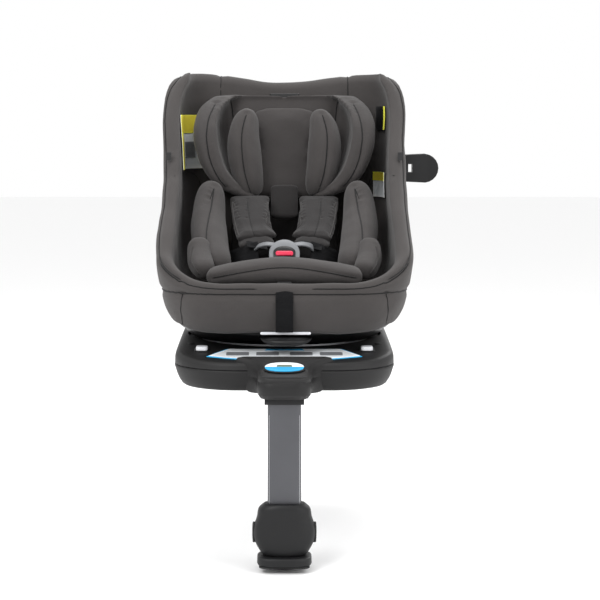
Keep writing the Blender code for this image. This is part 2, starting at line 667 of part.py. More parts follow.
# ---------------------------------------------------------------- harness
def lean(obj):
    """Turn a piece made upright at the origin to the buckle's place and lean."""
    angle = math.radians(BUCKLE_LEAN)
    c, s = math.cos(angle), math.sin(angle)
    for vertex in obj.data.vertices:
        x, y, z = vertex.co
        vertex.co = BUCKLE_CENTRE + Vector((x, y * c - z * s, y * s + z * c))
    return obj


def buckle_point(x, y, z):
    angle = math.radians(BUCKLE_LEAN)
    c, s = math.cos(angle), math.sin(angle)
    return BUCKLE_CENTRE + Vector((x, y * c - z * s, y * s + z * c))


def make_harness():
    housing = soft_box((-0.0285, -0.0110, -0.0260), (0.0285, 0.0110, 0.0260), 0.004, 2)
    cut(housing, box((-0.0150, -0.0200, -0.0120), (0.0150, 0.0000, 0.0080)))
    place("buckle_housing", lean(housing), "seat", "base_plastic")
    button = soft_box((-0.0144, -0.0140, -0.0114), (0.0144, -0.0040, 0.0074), 0.0015, 1)
    place("buckle_button", lean(button), "buckle_button", "button_red")
    crotch = strap((buckle_point(0.0, 0.0, -0.0264), buckle_point(0.0, 0.0, -0.0310)), 0.034, 0.003)
    place("crotch_strap", crotch, "seat", "webbing")
    for side, label in ((1, "left"), (-1, "right")):
        low, high = sorted((0.0030 * side, 0.0255 * side))
        tongue = box((low, -0.0015, 0.0264), (high, 0.0015, 0.0264 + TONGUE_LENGTH))
        place("harness_tongue_" + label, lean(tongue), "seat", "steel")
        path = ((0.042, -0.071, 0.2340), (0.058, -0.062, 0.2250), (0.074, -0.045, 0.2100), (0.084, -0.020, 0.1950),
                (0.087, 0.010, 0.1860), (0.087, 0.040, 0.1820))
        lap = strap([mirror_x(p, side) for p in path], 0.030, 0.0025, (0.35 * side, -0.5, 0.75))
        place("lap_strap_" + label, lap, "seat", "webbing")
        path = ((0.076, 0.090, 0.2960), (0.066, 0.050, 0.2760), (0.052, 0.000, 0.2500), (0.037, -0.036, 0.2360))
        pad = round_edges(strap([mirror_x(p, side) for p in path], 0.050, 0.013), 0.003, 1, 50.0)
        place("shoulder_pad_" + label, pad, "headrest", "pad_fabric")
    adjuster = soft_box((-0.0200, -0.2485, 0.1580), (0.0200, -0.2355, 0.1730), 0.002, 1)
    cut(adjuster, box((-0.0125, -0.2460, 0.1620), (0.0125, -0.2380, 0.1800)))
    place("harness_adjuster_housing", adjuster, "seat", "base_plastic")
    push = soft_box((-0.0119, -0.2454, 0.1655), (0.0119, -0.2386, 0.1760), 0.001, 1)
    place("harness_release_button", push, "harness_button", "base_plastic")
    webbing = strap([(0.0, bucket_half(z, 0.0)[0][1] - 0.0018, z) for z in (0.166, 0.150, 0.134, 0.115, 0.095)],
                    0.0250, 0.0022)
    place("adjuster_webbing", webbing, "seat", "webbing")
    handle = soft_box((-0.0400, -0.2680, 0.0715), (0.0460, -0.1900, 0.0855), 0.004, 2)
    place("recline_handle", handle, "recline_handle", "shell_plastic")


# ---------------------------------------------------------------- headrest and side pod
HEADREST_SECTIONS = ((0.312, 0.112, 0.110), (0.335, 0.146, 0.122), (0.370, 0.163, 0.130), (0.410, 0.170, 0.130),
                     (0.440, 0.169, 0.120), (0.465, 0.158, 0.095), (0.482, 0.136, 0.060))


def headrest_back(z):
    return backrest_y(z) - 0.010


def make_headrest():
    sections = []
    for z, width, depth in HEADREST_SECTIONS:
        back = headrest_back(z)
        half = ((0.010, back - 0.025), (width - 0.060, back - 0.026), (width - 0.036, back - 0.040),
                (width - 0.031, back - depth * 0.7), (width - 0.026, back - depth + 0.006),
                (width - 0.014, back - depth), (width - 0.003, back - depth + 0.008), (width, back - depth * 0.6),
                (width - 0.008, back - 0.018), (width - 0.030, back - 0.002), (0.010, back))
        sections.append(ring(half, z))
    place("headrest_pad", sweep(sections), "headrest", "fabric")
    low, high = 0.320, 0.470
    outline = [(headrest_back(z) + lift, z) for lift, z in
               ((GAP, low), (GAP, high), (0.0065, high), (0.0065, low))]
    place("headrest_shell", prism(outline, "yz", -0.105, 0.105), "headrest", "shell_plastic")
    top = HEADREST_SECTIONS[-1][0]
    lever = soft_box((-0.0280, 0.2300, top + GAP), (0.0280, 0.2440, top + 0.0100), 0.0020, 1)
    place("headrest_lever", lever, "headrest_lever", "base_plastic")
    for side, label in ((1, "left"), (-1, "right")):
        roll = cushion((0.0670 * side, 0.145, 0.388), SLIDE_AXIS, (1.0, 0.0, 0.0), 0.140, 0.042, 0.070)
        place("head_insert_" + label, roll, "headrest", "pad_fabric")


def make_pod():
    socket = box((0.2077, POD_Y - 0.0175, 0.3375), (0.2158, POD_Y + 0.0175, 0.3715))
    cut(socket, box((0.2098, POD_Y - 0.0105, 0.3445), (0.2300, POD_Y + 0.0105, 0.3645)))
    place("pod_socket", socket, "seat", "base_plastic")
    outline = [(0.2180, 0.3300), (0.2180, 0.3790)]
    outline += [(0.2560 + 0.0265 * math.cos(math.radians(a)), 0.3545 + 0.0265 * math.sin(math.radians(a)))
                for a in range(85, -86, -17)]
    pod = round_edges(prism(outline, "xz", POD_Y - 0.019, POD_Y + 0.019), 0.003, 2, 50.0)
    cut(pod, box((0.2270, POD_Y - 0.040, 0.3470), (0.2350, POD_Y + 0.040, 0.3620)))
    join(pod, box((0.2102, POD_Y - 0.010, 0.3450), (0.2200, POD_Y + 0.010, 0.3640)))
    place("side_impact_pod", pod, "side_pod", "base_plastic")


def main():
    clear_scene()
    make_joint_empties()
    make_lower_housing()
    make_upper_housing()
    make_base_fittings()
    make_connectors()
    make_leg()
    make_turntable()
    make_shell()
    make_cover()
    make_rocker()
    make_insert()
    make_harness()
    make_headrest()
    make_pod()


main()
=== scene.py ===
import json
import math

import bmesh
import bpy
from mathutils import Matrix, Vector, noise
from mathutils.bvhtree import BVHTree
from mathutils.kdtree import KDTree

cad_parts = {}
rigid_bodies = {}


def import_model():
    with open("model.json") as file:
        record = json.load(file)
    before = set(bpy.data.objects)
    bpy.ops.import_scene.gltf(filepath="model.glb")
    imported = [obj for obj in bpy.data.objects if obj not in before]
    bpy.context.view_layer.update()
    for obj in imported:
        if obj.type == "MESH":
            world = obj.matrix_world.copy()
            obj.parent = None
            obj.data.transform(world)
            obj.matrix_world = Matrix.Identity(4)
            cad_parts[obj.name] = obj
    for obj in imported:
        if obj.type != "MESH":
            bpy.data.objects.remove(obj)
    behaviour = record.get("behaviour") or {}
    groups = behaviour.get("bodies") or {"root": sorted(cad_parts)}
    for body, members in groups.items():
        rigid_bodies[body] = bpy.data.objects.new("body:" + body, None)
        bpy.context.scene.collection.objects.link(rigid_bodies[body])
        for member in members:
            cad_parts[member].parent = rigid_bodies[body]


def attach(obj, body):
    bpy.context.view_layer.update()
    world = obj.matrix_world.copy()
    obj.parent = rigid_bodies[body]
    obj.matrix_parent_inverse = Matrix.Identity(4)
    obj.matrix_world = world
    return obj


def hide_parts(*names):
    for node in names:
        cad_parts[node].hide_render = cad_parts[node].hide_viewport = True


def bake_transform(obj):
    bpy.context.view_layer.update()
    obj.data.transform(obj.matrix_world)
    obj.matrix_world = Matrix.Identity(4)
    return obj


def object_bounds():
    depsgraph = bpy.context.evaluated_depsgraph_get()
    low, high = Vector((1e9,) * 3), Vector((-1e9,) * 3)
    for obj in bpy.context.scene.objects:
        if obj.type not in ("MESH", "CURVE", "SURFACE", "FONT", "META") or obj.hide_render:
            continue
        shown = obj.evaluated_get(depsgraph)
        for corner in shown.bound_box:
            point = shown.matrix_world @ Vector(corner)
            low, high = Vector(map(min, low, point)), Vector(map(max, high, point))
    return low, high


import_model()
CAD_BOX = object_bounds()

# ---- driving dimensions, in metres
WALL = 0.03                    # thickness of the padded side walls
RIM = 0.015                     # height of the rounded rim
BACK_AT_BOTTOM = 0.16
BACK_SLOPE = 0.35
SEAT_FRONT = -0.262
WIDTHS = ((0.06, 0.15), (0.089, 0.18), (0.105, 0.194), (0.134, 0.206), (0.204, 0.219), (0.318, 0.2165),
    (0.388, 0.219), (0.461, 0.2235), (0.5, 0.2165), (0.52, 0.203), (0.53, 0.186), (0.54, 0.16))
# Height of the rim against depth, from the front of the seat to the top of the wings
RIM_LINE = ((-0.27, 0.166), (-0.262, 0.168), (-0.24, 0.179), (-0.205, 0.2), (-0.14, 0.238),
    (-0.072, 0.282), (-0.004, 0.332), (0.058, 0.388), (0.112, 0.448), (0.165, 0.51), (0.188, 0.54))
TOP_CORNER = 0.45               # above this the inner walls stay wide enough for the raised headrest
HEADREST_ROOM = 0.1785
# Headrest: height, half width, depth of the wings
HEADREST = ((0.303, 0.088, 0.096), (0.318, 0.122, 0.112), (0.345, 0.148, 0.124), (0.375, 0.162, 0.13),
    (0.405, 0.169, 0.131), (0.434, 0.17, 0.124), (0.458, 0.164, 0.106), (0.476, 0.151, 0.08),
    (0.488, 0.133, 0.05))
HEADREST_BOTTOM, HEADREST_TOP = 0.303, 0.4885
HEADREST_BACK = 0.12
HEM = 0.089                    # bottom edge of the cover
RIM_TOP, RIM_DIP = 0.5325, 0.019
FLOOR_LEVEL, FLOOR_SLOPE = 0.15, 0.06
FRONT_RADIUS, BACK_RADIUS = 0.11, 0.085
BASE_HALF, BASE_FRONT, BASE_BACK = 0.185, -0.3, 0.26
BASE_FRONT_RADIUS, BASE_BACK_RADIUS = 0.11, 0.06
SHELL_BOTTOM = 0.105            # where the bucket's straight side starts
TAG_THICKNESS = 0.0008
TRAY_TOP = 0.0352
DISH_RADIUS = 0.1724            # hole in the base's deck for the turntable
WEBBING = 0.036                 # width of the harness straps
BUCKLE_MIDDLE = Vector((0.0, -0.105, 0.203))
BUCKLE_TILT = math.radians(35)
LEG_Y = -0.34
FOOT_TOP, FOOT_BOTTOM = -0.1748, -0.2585
CLOTH_FRAMES = 20
CLOTH = {"quality": 4, "mass": 0.3, "tension_stiffness": 25, "compression_stiffness": 25,
    "bending_stiffness": 0.6, "use_pressure": True}
CREASE_ANGLE = 35               # sharper edges than this stay crisp on the plain moulded pieces
CAMERA_DISTANCE, CAMERA_HEIGHT = 3.4, 0.45
SIDES = ((1, "left"), (-1, "right"))
X, Y, Z = (1, 0, 0), (0, 1, 0), (0, 0, 1)


# ---- numbers and curves
def spline(value, table):
    """Smooth curve through a table of (value, result) pairs of rising value."""
    if value <= table[0][0]:
        return table[0][1]
    if value >= table[-1][0]:
        return table[-1][1]
    k = max(i for i in range(len(table) - 1) if table[i][0] <= value)
    (x0, y0), (x1, y1) = table[k], table[k + 1]
    span = x1 - x0

    def slope(i):
        low, high = table[max(i - 1, 0)], table[min(i + 1, len(table) - 1)]
        return (high[1] - low[1]) / (high[0] - low[0])

    t = (value - x0) / span
    return ((2 * t ** 3 - 3 * t ** 2 + 1) * y0 + (t ** 3 - 2 * t ** 2 + t) * span * slope(k)
        + (3 * t ** 2 - 2 * t ** 3) * y1 + (t ** 3 - t ** 2) * span * slope(k + 1))


def smooth(value, low, high):
    t = min(1.0, max(0.0, (value - low) / (high - low)))
    return t * t * (3 - 2 * t)


def soft_min(a, b, radius):
    gap = max(0.0, radius - abs(a - b)) / radius
    return min(a, b) - gap * gap * radius / 4


def curve_points(points, count):
    """Evenly timed points on a Catmull-Rom curve through the given points."""
    points = [Vector(p) for p in points]
    result = []
    for k in range(count):
        position = (len(points) - 1) * k / (count - 1)
        i = min(int(position), len(points) - 2)
        t = position - i
        p0, p1, p2, p3 = points[max(i - 1, 0)], points[i], points[i
            + 1], points[min(i + 2, len(points) - 1)]
        result.append(0.5 * (2 * p1 + (p2 - p0) * t + (2 * p0 - 5 * p1 + 4 * p2 - p3) * t ** 2
            + (3 * p1 - p0 - 3 * p2 + p3) * t ** 3))
    return result


def sided(sign, points):
    """Points given for the left side, or mirrored to the right for a sign of -1."""
    return [(sign * x, y, z) for x, y, z in points]


def whole(half_row):
    """Closed outline from its right half, whose two ends are in the middle."""
    return half_row + [Vector((-p.x, p.y, p.z)) for p in reversed(half_row[1:-1])]


# ---- materials
def nodes_of(name, colour, roughness, metallic=0.0, **inputs):
    material = bpy.data.materials.new(name)
    material.use_nodes = True
    tree = material.node_tree
    shader = tree.nodes["Principled BSDF"]
    shader.inputs["Base Color"].default_value = (*colour, 1.0)
    shader.inputs["Roughness"].default_value = roughness
    shader.inputs["Metallic"].default_value = metallic
    for key, value in inputs.items():
        shader.inputs[key.replace("_", " ")].default_value = value
    material.diffuse_color = (*colour, 1.0)
    return material, tree, shader


def add_node(tree, kind, **values):
    """A node with settings and inputs by name; another node's output is linked."""
    node = tree.nodes.new("ShaderNode" + kind)
    for key, value in values.items():
        socket = key.replace("_", " ")
        if hasattr(node, key):
            setattr(node, key, value)
        elif isinstance(value, bpy.types.NodeSocket):
            tree.links.new(value, node.inputs[socket])
        else:
            node.inputs[socket].default_value = value
    return node


def link(tree, source, output, target, socket):
    tree.links.new(source.outputs[output], target.inputs[socket])


def combine(tree, operation, first, second):
    """Sum or product of two outputs."""
    node = add_node(tree, "Math", operation=operation)
    tree.links.new(first, node.inputs[0])
    tree.links.new(second, node.inputs[1])
    return node.outputs[0]


def mottle(tree, shader, colour, amount, scale, roughness, roughness_amount=0.06):
    """Uneven colour and roughness from a soft noise."""
    place = add_node(tree, "TexCoord").outputs["Object"]
    cloud = add_node(tree, "TexNoise", Scale=scale, Detail=5.0, Roughness=0.6, Vector=place)
    ramp = add_node(tree, "ValToRGB", Fac=cloud.outputs["Fac"])
    for stop, position, factor in zip(ramp.color_ramp.elements, (0.3, 0.7), (1 - amount, 1 + amount)):
        stop.position = position
        stop.color = (*[min(1.0, c * factor) for c in colour], 1)
    spread = add_node(tree, "MapRange", To_Min=roughness - roughness_amount,
        To_Max=roughness + roughness_amount, Value=cloud.outputs["Fac"])
    link(tree, spread, "Result", shader, "Roughness")
    return place, ramp


def bump(tree, shader, height, strength, distance):
    node = add_node(tree, "Bump", Strength=strength, Distance=distance)
    tree.links.new(height, node.inputs["Height"])
    link(tree, node, "Normal", shader, "Normal")


def fabric_material(name, colour, scale=1.0, amount=0.1):
    """Fine knit: crossed ribs a millimetre apart, with fibre noise and a soft sheen."""
    material, tree, shader = nodes_of(name, colour, 0.92, Sheen_Weight=0.12, Sheen_Roughness=0.55,
        Specular_IOR_Level=0.15)
    place, ramp = mottle(tree, shader, colour, amount, 9.0, 0.92, 0.04)
    heights = []
    for direction in ("X", "Z"):
        rib = add_node(tree, "TexWave", wave_type="BANDS", bands_direction=direction, Scale=260.0 * scale,
            Distortion=1.2, Detail=1.0, Vector=place)
        heights.append(rib.outputs["Fac"])
    fibre = add_node(tree, "TexNoise", Scale=900.0 * scale, Detail=3.0, Vector=place)
    knit = combine(tree, "MULTIPLY", *heights)
    bump(tree, shader, combine(tree, "ADD", knit, fibre.outputs["Fac"]), 0.35, 0.0006)
    tint = add_node(tree, "Mix", data_type="RGBA", blend_type="MULTIPLY")
    tint.inputs["Factor"].default_value = 0.3
    link(tree, ramp, "Color", tint, "A")
    link(tree, fibre, "Fac", tint, "B")
    link(tree, tint, "Result", shader, "Base Color")
    return material


def webbing_material(name, colour):
    """Woven webbing: ribs across the strap, 2.2 mm apart, and fine ones along it."""
    material, tree, shader = nodes_of(name, colour, 0.62, Specular_IOR_Level=0.15)
    place, ramp = mottle(tree, shader, colour, 0.15, 40.0, 0.62)
    rib = add_node(tree, "TexWave", wave_type="BANDS", bands_direction="Z", Scale=0.31 / 0.0022,
        Distortion=0.6, Detail=1.0, Vector=place)
    fine = add_node(tree, "TexWave", wave_type="BANDS", bands_direction="X", Scale=380.0, Distortion=0.4,
        Vector=place)
    bump(tree, shader, combine(tree, "ADD", rib.outputs["Fac"], fine.outputs["Fac"]), 0.6, 0.0008)
    link(tree, ramp, "Color", shader, "Base Color")
    return material


def plastic_material(name, colour, roughness, grain=1.0):
    """Moulded plastic: fine spark grain, slightly uneven gloss and edges rubbed paler."""
    material, tree, shader = nodes_of(name, colour, roughness, Specular_IOR_Level=0.3)
    place, ramp = mottle(tree, shader, colour, 0.1, 14.0, roughness)
    spark = add_node(tree, "TexNoise", Scale=1400.0, Detail=2.0, Vector=place)
    pits = add_node(tree, "TexVoronoi", Scale=700.0, Vector=place)
    bump(tree, shader, combine(tree, "ADD", spark.outputs["Fac"], pits.outputs["Distance"]), 0.22 * grain,
        0.0003)
    geometry = add_node(tree, "NewGeometry")
    edge = add_node(tree, "MapRange", From_Min=0.53, From_Max=0.62, Value=geometry.outputs["Pointiness"])
    worn = add_node(tree, "Mix", data_type="RGBA")
    worn.inputs["B"].default_value = (*[min(1.0, c * 1.6 + 0.01) for c in colour], 1)
    link(tree, edge, "Result", worn, "Factor")
    link(tree, ramp, "Color", worn, "A")
    link(tree, worn, "Result", shader, "Base Color")
    return material


def metal_material(name, colour, roughness, metallic=1.0, direction="Z"):
    """Drawn steel or painted tube: fine lines along its length."""
    material, tree, shader = nodes_of(name, colour, roughness, metallic)
    place, ramp = mottle(tree, shader, colour, 0.06, 20.0, roughness)
    scale = (600.0, 600.0, 8.0) if direction == "Z" else (600.0, 8.0, 600.0)
    stretch = add_node(tree, "Mapping", Vector=place, Scale=scale)
    lines = add_node(tree, "TexNoise", Scale=1.0, Detail=2.0, Vector=stretch.outputs["Vector"])
    bump(tree, shader, lines.outputs["Fac"], 0.08, 0.0003)
    link(tree, ramp, "Color", shader, "Base Color")
    return material


# Each look: its slot, kind of material, name, colour and settings
LOOKS = {
    "cover": ("fabric", fabric_material, "cover_knit", (0.056, 0.051, 0.0495)),
    "pad": ("pad_fabric", fabric_material, "padding_knit", (0.05, 0.0455, 0.0445), 1.1),
    "dark_pad": ("pad_fabric", fabric_material, "padding_dark_knit", (0.021, 0.019, 0.019), 1.1),
    "seam": ("fabric", fabric_material, "seam_thread", (0.007, 0.0065, 0.0065), 1.6),
    "piping": ("fabric", fabric_material, "edge_piping", (0.036, 0.033, 0.032), 1.6),
    "webbing": ("webbing", webbing_material, "webbing_weave", (0.0085, 0.0085, 0.0095)),
    "base": ("base_plastic", plastic_material, "base_moulding", (0.0075, 0.0072, 0.0074), 0.55),
    "shell": ("shell_plastic", plastic_material, "shell_moulding", (0.006, 0.006, 0.0064), 0.4, 0.7),
    "black": ("shell_plastic", plastic_material, "black_moulding", (0.006, 0.006, 0.0064), 0.38, 0.6),
    "foot": ("base_plastic", plastic_material, "foot_moulding", (0.006, 0.006, 0.0066), 0.5, 0.8),
    "grey": ("button_grey", plastic_material, "grey_button", (0.6, 0.61, 0.64), 0.38, 0.5),
    "red": ("button_red", plastic_material, "red_button", (0.62, 0.03, 0.075), 0.3, 0.2),
    "rubber": ("rubber", plastic_material, "sole_rubber", (0.009, 0.009, 0.0095), 0.85, 2.0),
    "paint": ("leg_paint", metal_material, "leg_paint_coat", (0.066, 0.067, 0.074), 0.34, 0.35),
    "steel": ("steel", metal_material, "bright_steel", (0.56, 0.57, 0.59), 0.3),
    "dark_steel": ("black_steel", metal_material, "coated_steel", (0.075, 0.075, 0.08), 0.42, 0.8, "Y"),
    "white_print": ("label", plastic_material, "label_white", (0.74, 0.77, 0.79), 0.45, 0.2),
    "blue_print": ("label", plastic_material, "label_blue", (0.02, 0.3, 0.55), 0.42, 0.2),
    "grey_print": ("label", plastic_material, "label_grey", (0.17, 0.175, 0.185), 0.45, 0.2),
    "green_print": ("label", plastic_material, "window_green", (0.13, 0.17, 0.13), 0.25, 0.2),
    "yellow_print": ("label", plastic_material, "tab_yellow", (0.78, 0.66, 0.06), 0.5, 0.2),
}
MATERIALS = {look: make(*settings) for look, (_, make, *settings) in LOOKS.items()}


# ---- mesh helpers
def add_object(name, data):
    obj = bpy.data.objects.new(name, data)
    bpy.context.scene.collection.objects.link(obj)
    return obj


def build(name, verts, faces, look, body, stands_for=(), sharp=None):
    """A new piece of the object, which moves with a body."""
    mesh = bpy.data.meshes.new(name)
    mesh.from_pydata([tuple(v) for v in verts], [], faces)
    edit = bmesh.new()
    edit.from_mesh(mesh)
    bmesh.ops.remove_doubles(edit, verts=edit.verts, dist=1e-6)
    bmesh.ops.recalc_face_normals(edit, faces=edit.faces)
    edit.to_mesh(mesh)
    edit.free()
    obj = add_object(name, mesh)
    finish_piece(obj, look, body, stands_for, sharp)
    return obj


def finish_piece(obj, look, body, stands_for=(), sharp=None):
    obj.data.materials.clear()
    obj.data.materials.append(MATERIALS[look])
    obj.data.shade_smooth()
    if sharp:
        obj.data.set_sharp_from_angle(angle=math.radians(sharp))
    if body:
        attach(obj, body)
    if stands_for:
        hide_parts(*stands_for)


def apply_modifiers(obj):
    bpy.context.view_layer.update()
    graph = bpy.context.evaluated_depsgraph_get()
    mesh = bpy.data.meshes.new_from_object(obj.evaluated_get(graph))
    obj.modifiers.clear()
    obj.data = mesh


def grid_faces(rows, columns, wrap=True):
    faces = []
    for r in range(rows - 1):
        for c in range(columns if wrap else columns - 1):
            d = (c + 1) % columns
            faces.append((r * columns + c, r * columns + d, (r + 1) * columns + d, (r + 1) * columns + c))
    return faces


def skin(name, rows, look, body, stands_for=(), caps=(True, True), sharp=None, wrap=True):
    """Surface over closed rows of points, with a fan at each end."""
    columns = len(rows[0])
    verts = [p for row in rows for p in row]
    faces = grid_faces(len(rows), columns, wrap)
    for end, cap in zip((0, len(rows) - 1), caps):
        if cap:
            middle = sum((Vector(p) for p in rows[end]), Vector()) / columns
            verts.append(middle)
            start = end * columns
            faces += [(start + c, start + (c + 1) % columns, len(verts) - 1) for c in range(columns)]
    return build(name, verts, faces, look, body, stands_for, sharp)


def heading(points, k):
    """Direction of a line at its point number k."""
    return (points[min(k + 1, len(points) - 1)] - points[max(k - 1, 0)]).normalized()


def tube(name, path, radius, look, body, sides=8, taper=False):
    rows = []
    for k, point in enumerate(path):
        along = heading(path, k)
        guide = Vector((0.0, 0.0, 1.0)) if abs(along.z) < 0.9 else Vector((1.0, 0.0, 0.0))
        u = along.cross(guide).normalized()
        v = along.cross(u)
        r = radius * (min(1.0, 0.3 + min(k, len(path) - 1 - k) / 3) if taper else 1.0)
        rows.append([point + (u * math.cos(a) + v * math.sin(a)) * r
            for a in (2 * math.pi * m / sides for m in range(sides))])
    return skin(name, rows, look, body)


def superellipse(sides, power):
    """Points of a unit superellipse; power 2 is a circle and a higher one is squarer."""
    points = []
    for angle in (2 * math.pi * k / sides for k in range(sides)):
        c, s = math.cos(angle), math.sin(angle)
        reach = (abs(c) ** power + abs(s) ** power) ** (-1 / power)
        points.append((c * reach, s * reach))
    return points


def roll(name, path, widths, depths, across, look, body, stands_for=(), power=2.4, count=44, sides=32,
        ends=0.5):
    """Stuffed roll along a curve, with its own width and depth along the way and rounded ends."""
    points = curve_points(path, count)
    rows = []
    for k, point in enumerate(points):
        t = k / (count - 1)
        along = heading(points, k)
        side = Vector(across)
        side = (side - along * side.dot(along)).normalized()
        normal = along.cross(side)
        edge = min(1.0, 2 * min(t, 1 - t) / ends)
        swell = max(0.04, math.sqrt(max(0.0, 1 - (1 - edge) ** 2.6)))
        width = spline(t, widths) * swell / 2
        depth = spline(t, depths) * swell / 2
        rows.append([point + side * (x * width) + normal * (y * depth)
            for x, y in superellipse(sides, power)])
    return skin(name, rows, look, body, stands_for)


def crease(obj, path, depth, width):
    """Press a seam's valley into a piece along a path."""
    tree = KDTree(len(path))
    for k, point in enumerate(path):
        tree.insert(point, k)
    tree.balance()
    low = Vector([min(p[i] for p in path) - width for i in range(3)])
    high = Vector([max(p[i] for p in path) + width for i in range(3)])
    moves = []
    for vertex in obj.data.vertices:
        co = vertex.co
        if low.x <= co.x <= high.x and low.y <= co.y <= high.y and low.z <= co.z <= high.z:
            near = tree.find(co)[2]
            if near < width:
                moves.append((vertex, vertex.normal * depth * (1 - smooth(near, 0.0, width))))
    for vertex, move in moves:
        vertex.co -= move


def surface_of(obj):
    return BVHTree.FromPolygons([v.co for v in obj.data.vertices],
        [p.vertices[:] for p in obj.data.polygons])


def ease(path, times):
    """Smooth a line while its ends stay."""
    for _ in range(times):
        path = [path[0]] + [(a + b * 2 + c) / 4 for a, b, c in zip(path, path[1:], path[2:])] + [path[-1]]
    return path


def seam(name, target, points, body, look="seam", radius=0.0008, count=70, ray=Y, press=0.003,
        width=0.011):
    """Sewn line in a pressed valley: its points are dropped onto the target along a ray."""
    surface = surface_of(target)
    direction = Vector(ray).normalized()
    path = []
    for point in curve_points(points, count):
        hit, normal, _, _ = surface.ray_cast(point - direction * 0.25, direction)
        if hit is None:
            hit, normal, _, _ = surface.find_nearest(point)
        path.append(hit)
    path = ease(path, 10)
    if press:
        crease(target, path, press, width)
        surface = surface_of(target)
        path = [surface.find_nearest(p)[0] for p in path]
    path = ease(path, 12)
    return tube(name, [p - direction * (radius * 0.5) for p in path], radius, look, body, 8, True)


def rumple(obj, height, scale, seed=0.0):
    """Small uneven swells, as stuffed cloth has."""
    offset = Vector((seed, seed * 0.7, seed * 1.3))
    normals = [vertex.normal.copy() for vertex in obj.data.vertices]
    for vertex, normal in zip(obj.data.vertices, normals):
        vertex.co += normal * height * noise.noise(vertex.co * scale + offset)


def soft_plate(name, outline, plane_point, u_axis, v_axis, thickness, look, body, stands_for=(), dome=0.0,
        edge=0.3):
    """Flat or domed plate with a rounded edge, from an outline in its own (u, v) plane."""
    origin, u_axis, v_axis = Vector(plane_point), Vector(u_axis).normalized(), Vector(v_axis).normalized()
    normal = u_axis.cross(v_axis)
    centre = (sum(p[0] for p in outline) / len(outline), sum(p[1] for p in outline) / len(outline))
    rows = []
    levels = ((0.7, -0.5), (0.93, -0.46), (1.0, -edge), (1.0, edge), (0.97, 0.46), (0.85, 0.5),
        (0.6, 0.5), (0.3, 0.5))
    for scale, height in levels:
        row = []
        for u, v in outline:
            x, y = centre[0] + (u - centre[0]) * scale, centre[1] + (v - centre[1]) * scale
            lift = dome * (1 - scale ** 2) if height > 0 else 0.0
            row.append(origin + u_axis * x + v_axis * y + normal * (height * thickness + lift))
        rows.append(row)
    return skin(name, rows, look, body, stands_for)


def rounded(half_u, half_v, radius, steps=6, centre=(0.0, 0.0)):
    """Outline of a rounded rectangle."""
    points = []
    for corner, (sx, sy) in enumerate(((1, 1), (-1, 1), (-1, -1), (1, -1))):
        for k in range(steps + 1):
            angle = math.radians(90 * corner + 90 * k / steps)
            points.append((centre[0] + sx * (half_u - radius) + radius * math.cos(angle),
                centre[1] + sy * (half_v - radius) + radius * math.sin(angle)))
    return points


def slab(name, first, second, columns, look, body, stands_for=()):
    """Thin closed plate between two grids of points."""
    steps, top = len(first) // columns - 1, len(first)
    faces = []
    for i in range(steps):
        for k in range(columns - 1):
            a = i * columns + k
            faces.append((a, a + 1, a + columns + 1, a + columns))
            faces.append((top + a, top + a + columns, top + a + columns + 1, top + a + 1))
    rim = list(range(columns)) + [i * columns + columns - 1 for i in range(1, steps + 1)]
    rim += [steps * columns + k for k in range(columns - 2, -1, -1)] + [i * columns
        for i in range(steps - 1, 0, -1)]
    faces += [(a, b, top + b, top + a) for a, b in zip(rim, rim[1:] + rim[:1])]
    build(name, first + second, faces, look, body, stands_for, 40)


def strap(name, path, width, thickness, across, look, body, stands_for=(), count=40):
    """Flat webbing with rounded selvedges along a curve; across is one direction, or one for each end."""
    points = curve_points(path, count)
    first, last = (Vector(a) for a in across) if isinstance(across[0],
        (tuple, Vector)) else (Vector(across),) * 2
    section = superellipse(20, 5.0)
    rows = []
    for k, point in enumerate(points):
        along = heading(points, k)
        side = first.lerp(last, k / (count - 1))
        side = (side - along * side.dot(along)).normalized()
        normal = along.cross(side)
        rows.append([point + side * (x * width / 2) + normal * (y * thickness / 2) for x, y in section])
    return skin(name, rows, look, body, stands_for)


# ---- plan of the seat
def back_y(z):
    return BACK_AT_BOTTOM + BACK_SLOPE * (z - 0.1)


def front_y(z):
    return spline(z, ((0.089, -0.24), (0.134, -0.256), (0.168, SEAT_FRONT)))


def arc(cx, cy, radius, start, end, steps):
    return [(cx + radius * math.cos(math.radians(a)), cy + radius * math.sin(math.radians(a)))
        for a in (start + (end - start) * k / steps for k in range(steps + 1))]


def even(points, count):
    """The same line with its points spread evenly."""
    lengths = [0.0]
    for a, b in zip(points, points[1:]):
        lengths.append(lengths[-1] + math.dist(a, b))
    result, k = [], 0
    for n in range(count):
        wanted = lengths[-1] * n / (count - 1)
        while k < len(points) - 2 and lengths[k + 1] < wanted:
            k += 1
        t = (wanted - lengths[k]) / max(1e-9, lengths[k + 1] - lengths[k])
        result.append(tuple(a + (b - a) * t for a, b in zip(points[k], points[k + 1])))
    return result


def seat_plan(z, inset):
    """Half of the seat's outline at a height, from the middle of the front to the middle of the back."""
    outer = spline(z, WIDTHS)
    half = outer - inset
    if z > TOP_CORNER and inset <= WALL:
        half = max(half, min(HEADREST_ROOM, outer - inset * 0.3))
    front, back = front_y(z) + inset, back_y(z) - inset
    front_radius = max(0.008, min(FRONT_RADIUS - inset, half - 0.004))
    back_radius = max(0.008, min(BACK_RADIUS - inset * 0.8, half - 0.004))
    side_end = max(back - back_radius, front + front_radius + 0.004)
    front_line = even([(0.0, front), (half - front_radius, front)], 10)
    front_turn = arc(half - front_radius, front + front_radius, front_radius, -90, 0, 16)
    side = even([(half, front + front_radius), (half, side_end)], 44)
    back_turn = arc(half - back_radius, side_end, back_radius, 0, 90, 14)
    back_line = even([(half - back_radius, side_end + back_radius), (0.0, back)], 16)
    return front_line[:-1] + front_turn[:-1] + side[:-1] + back_turn[:-1] + back_line


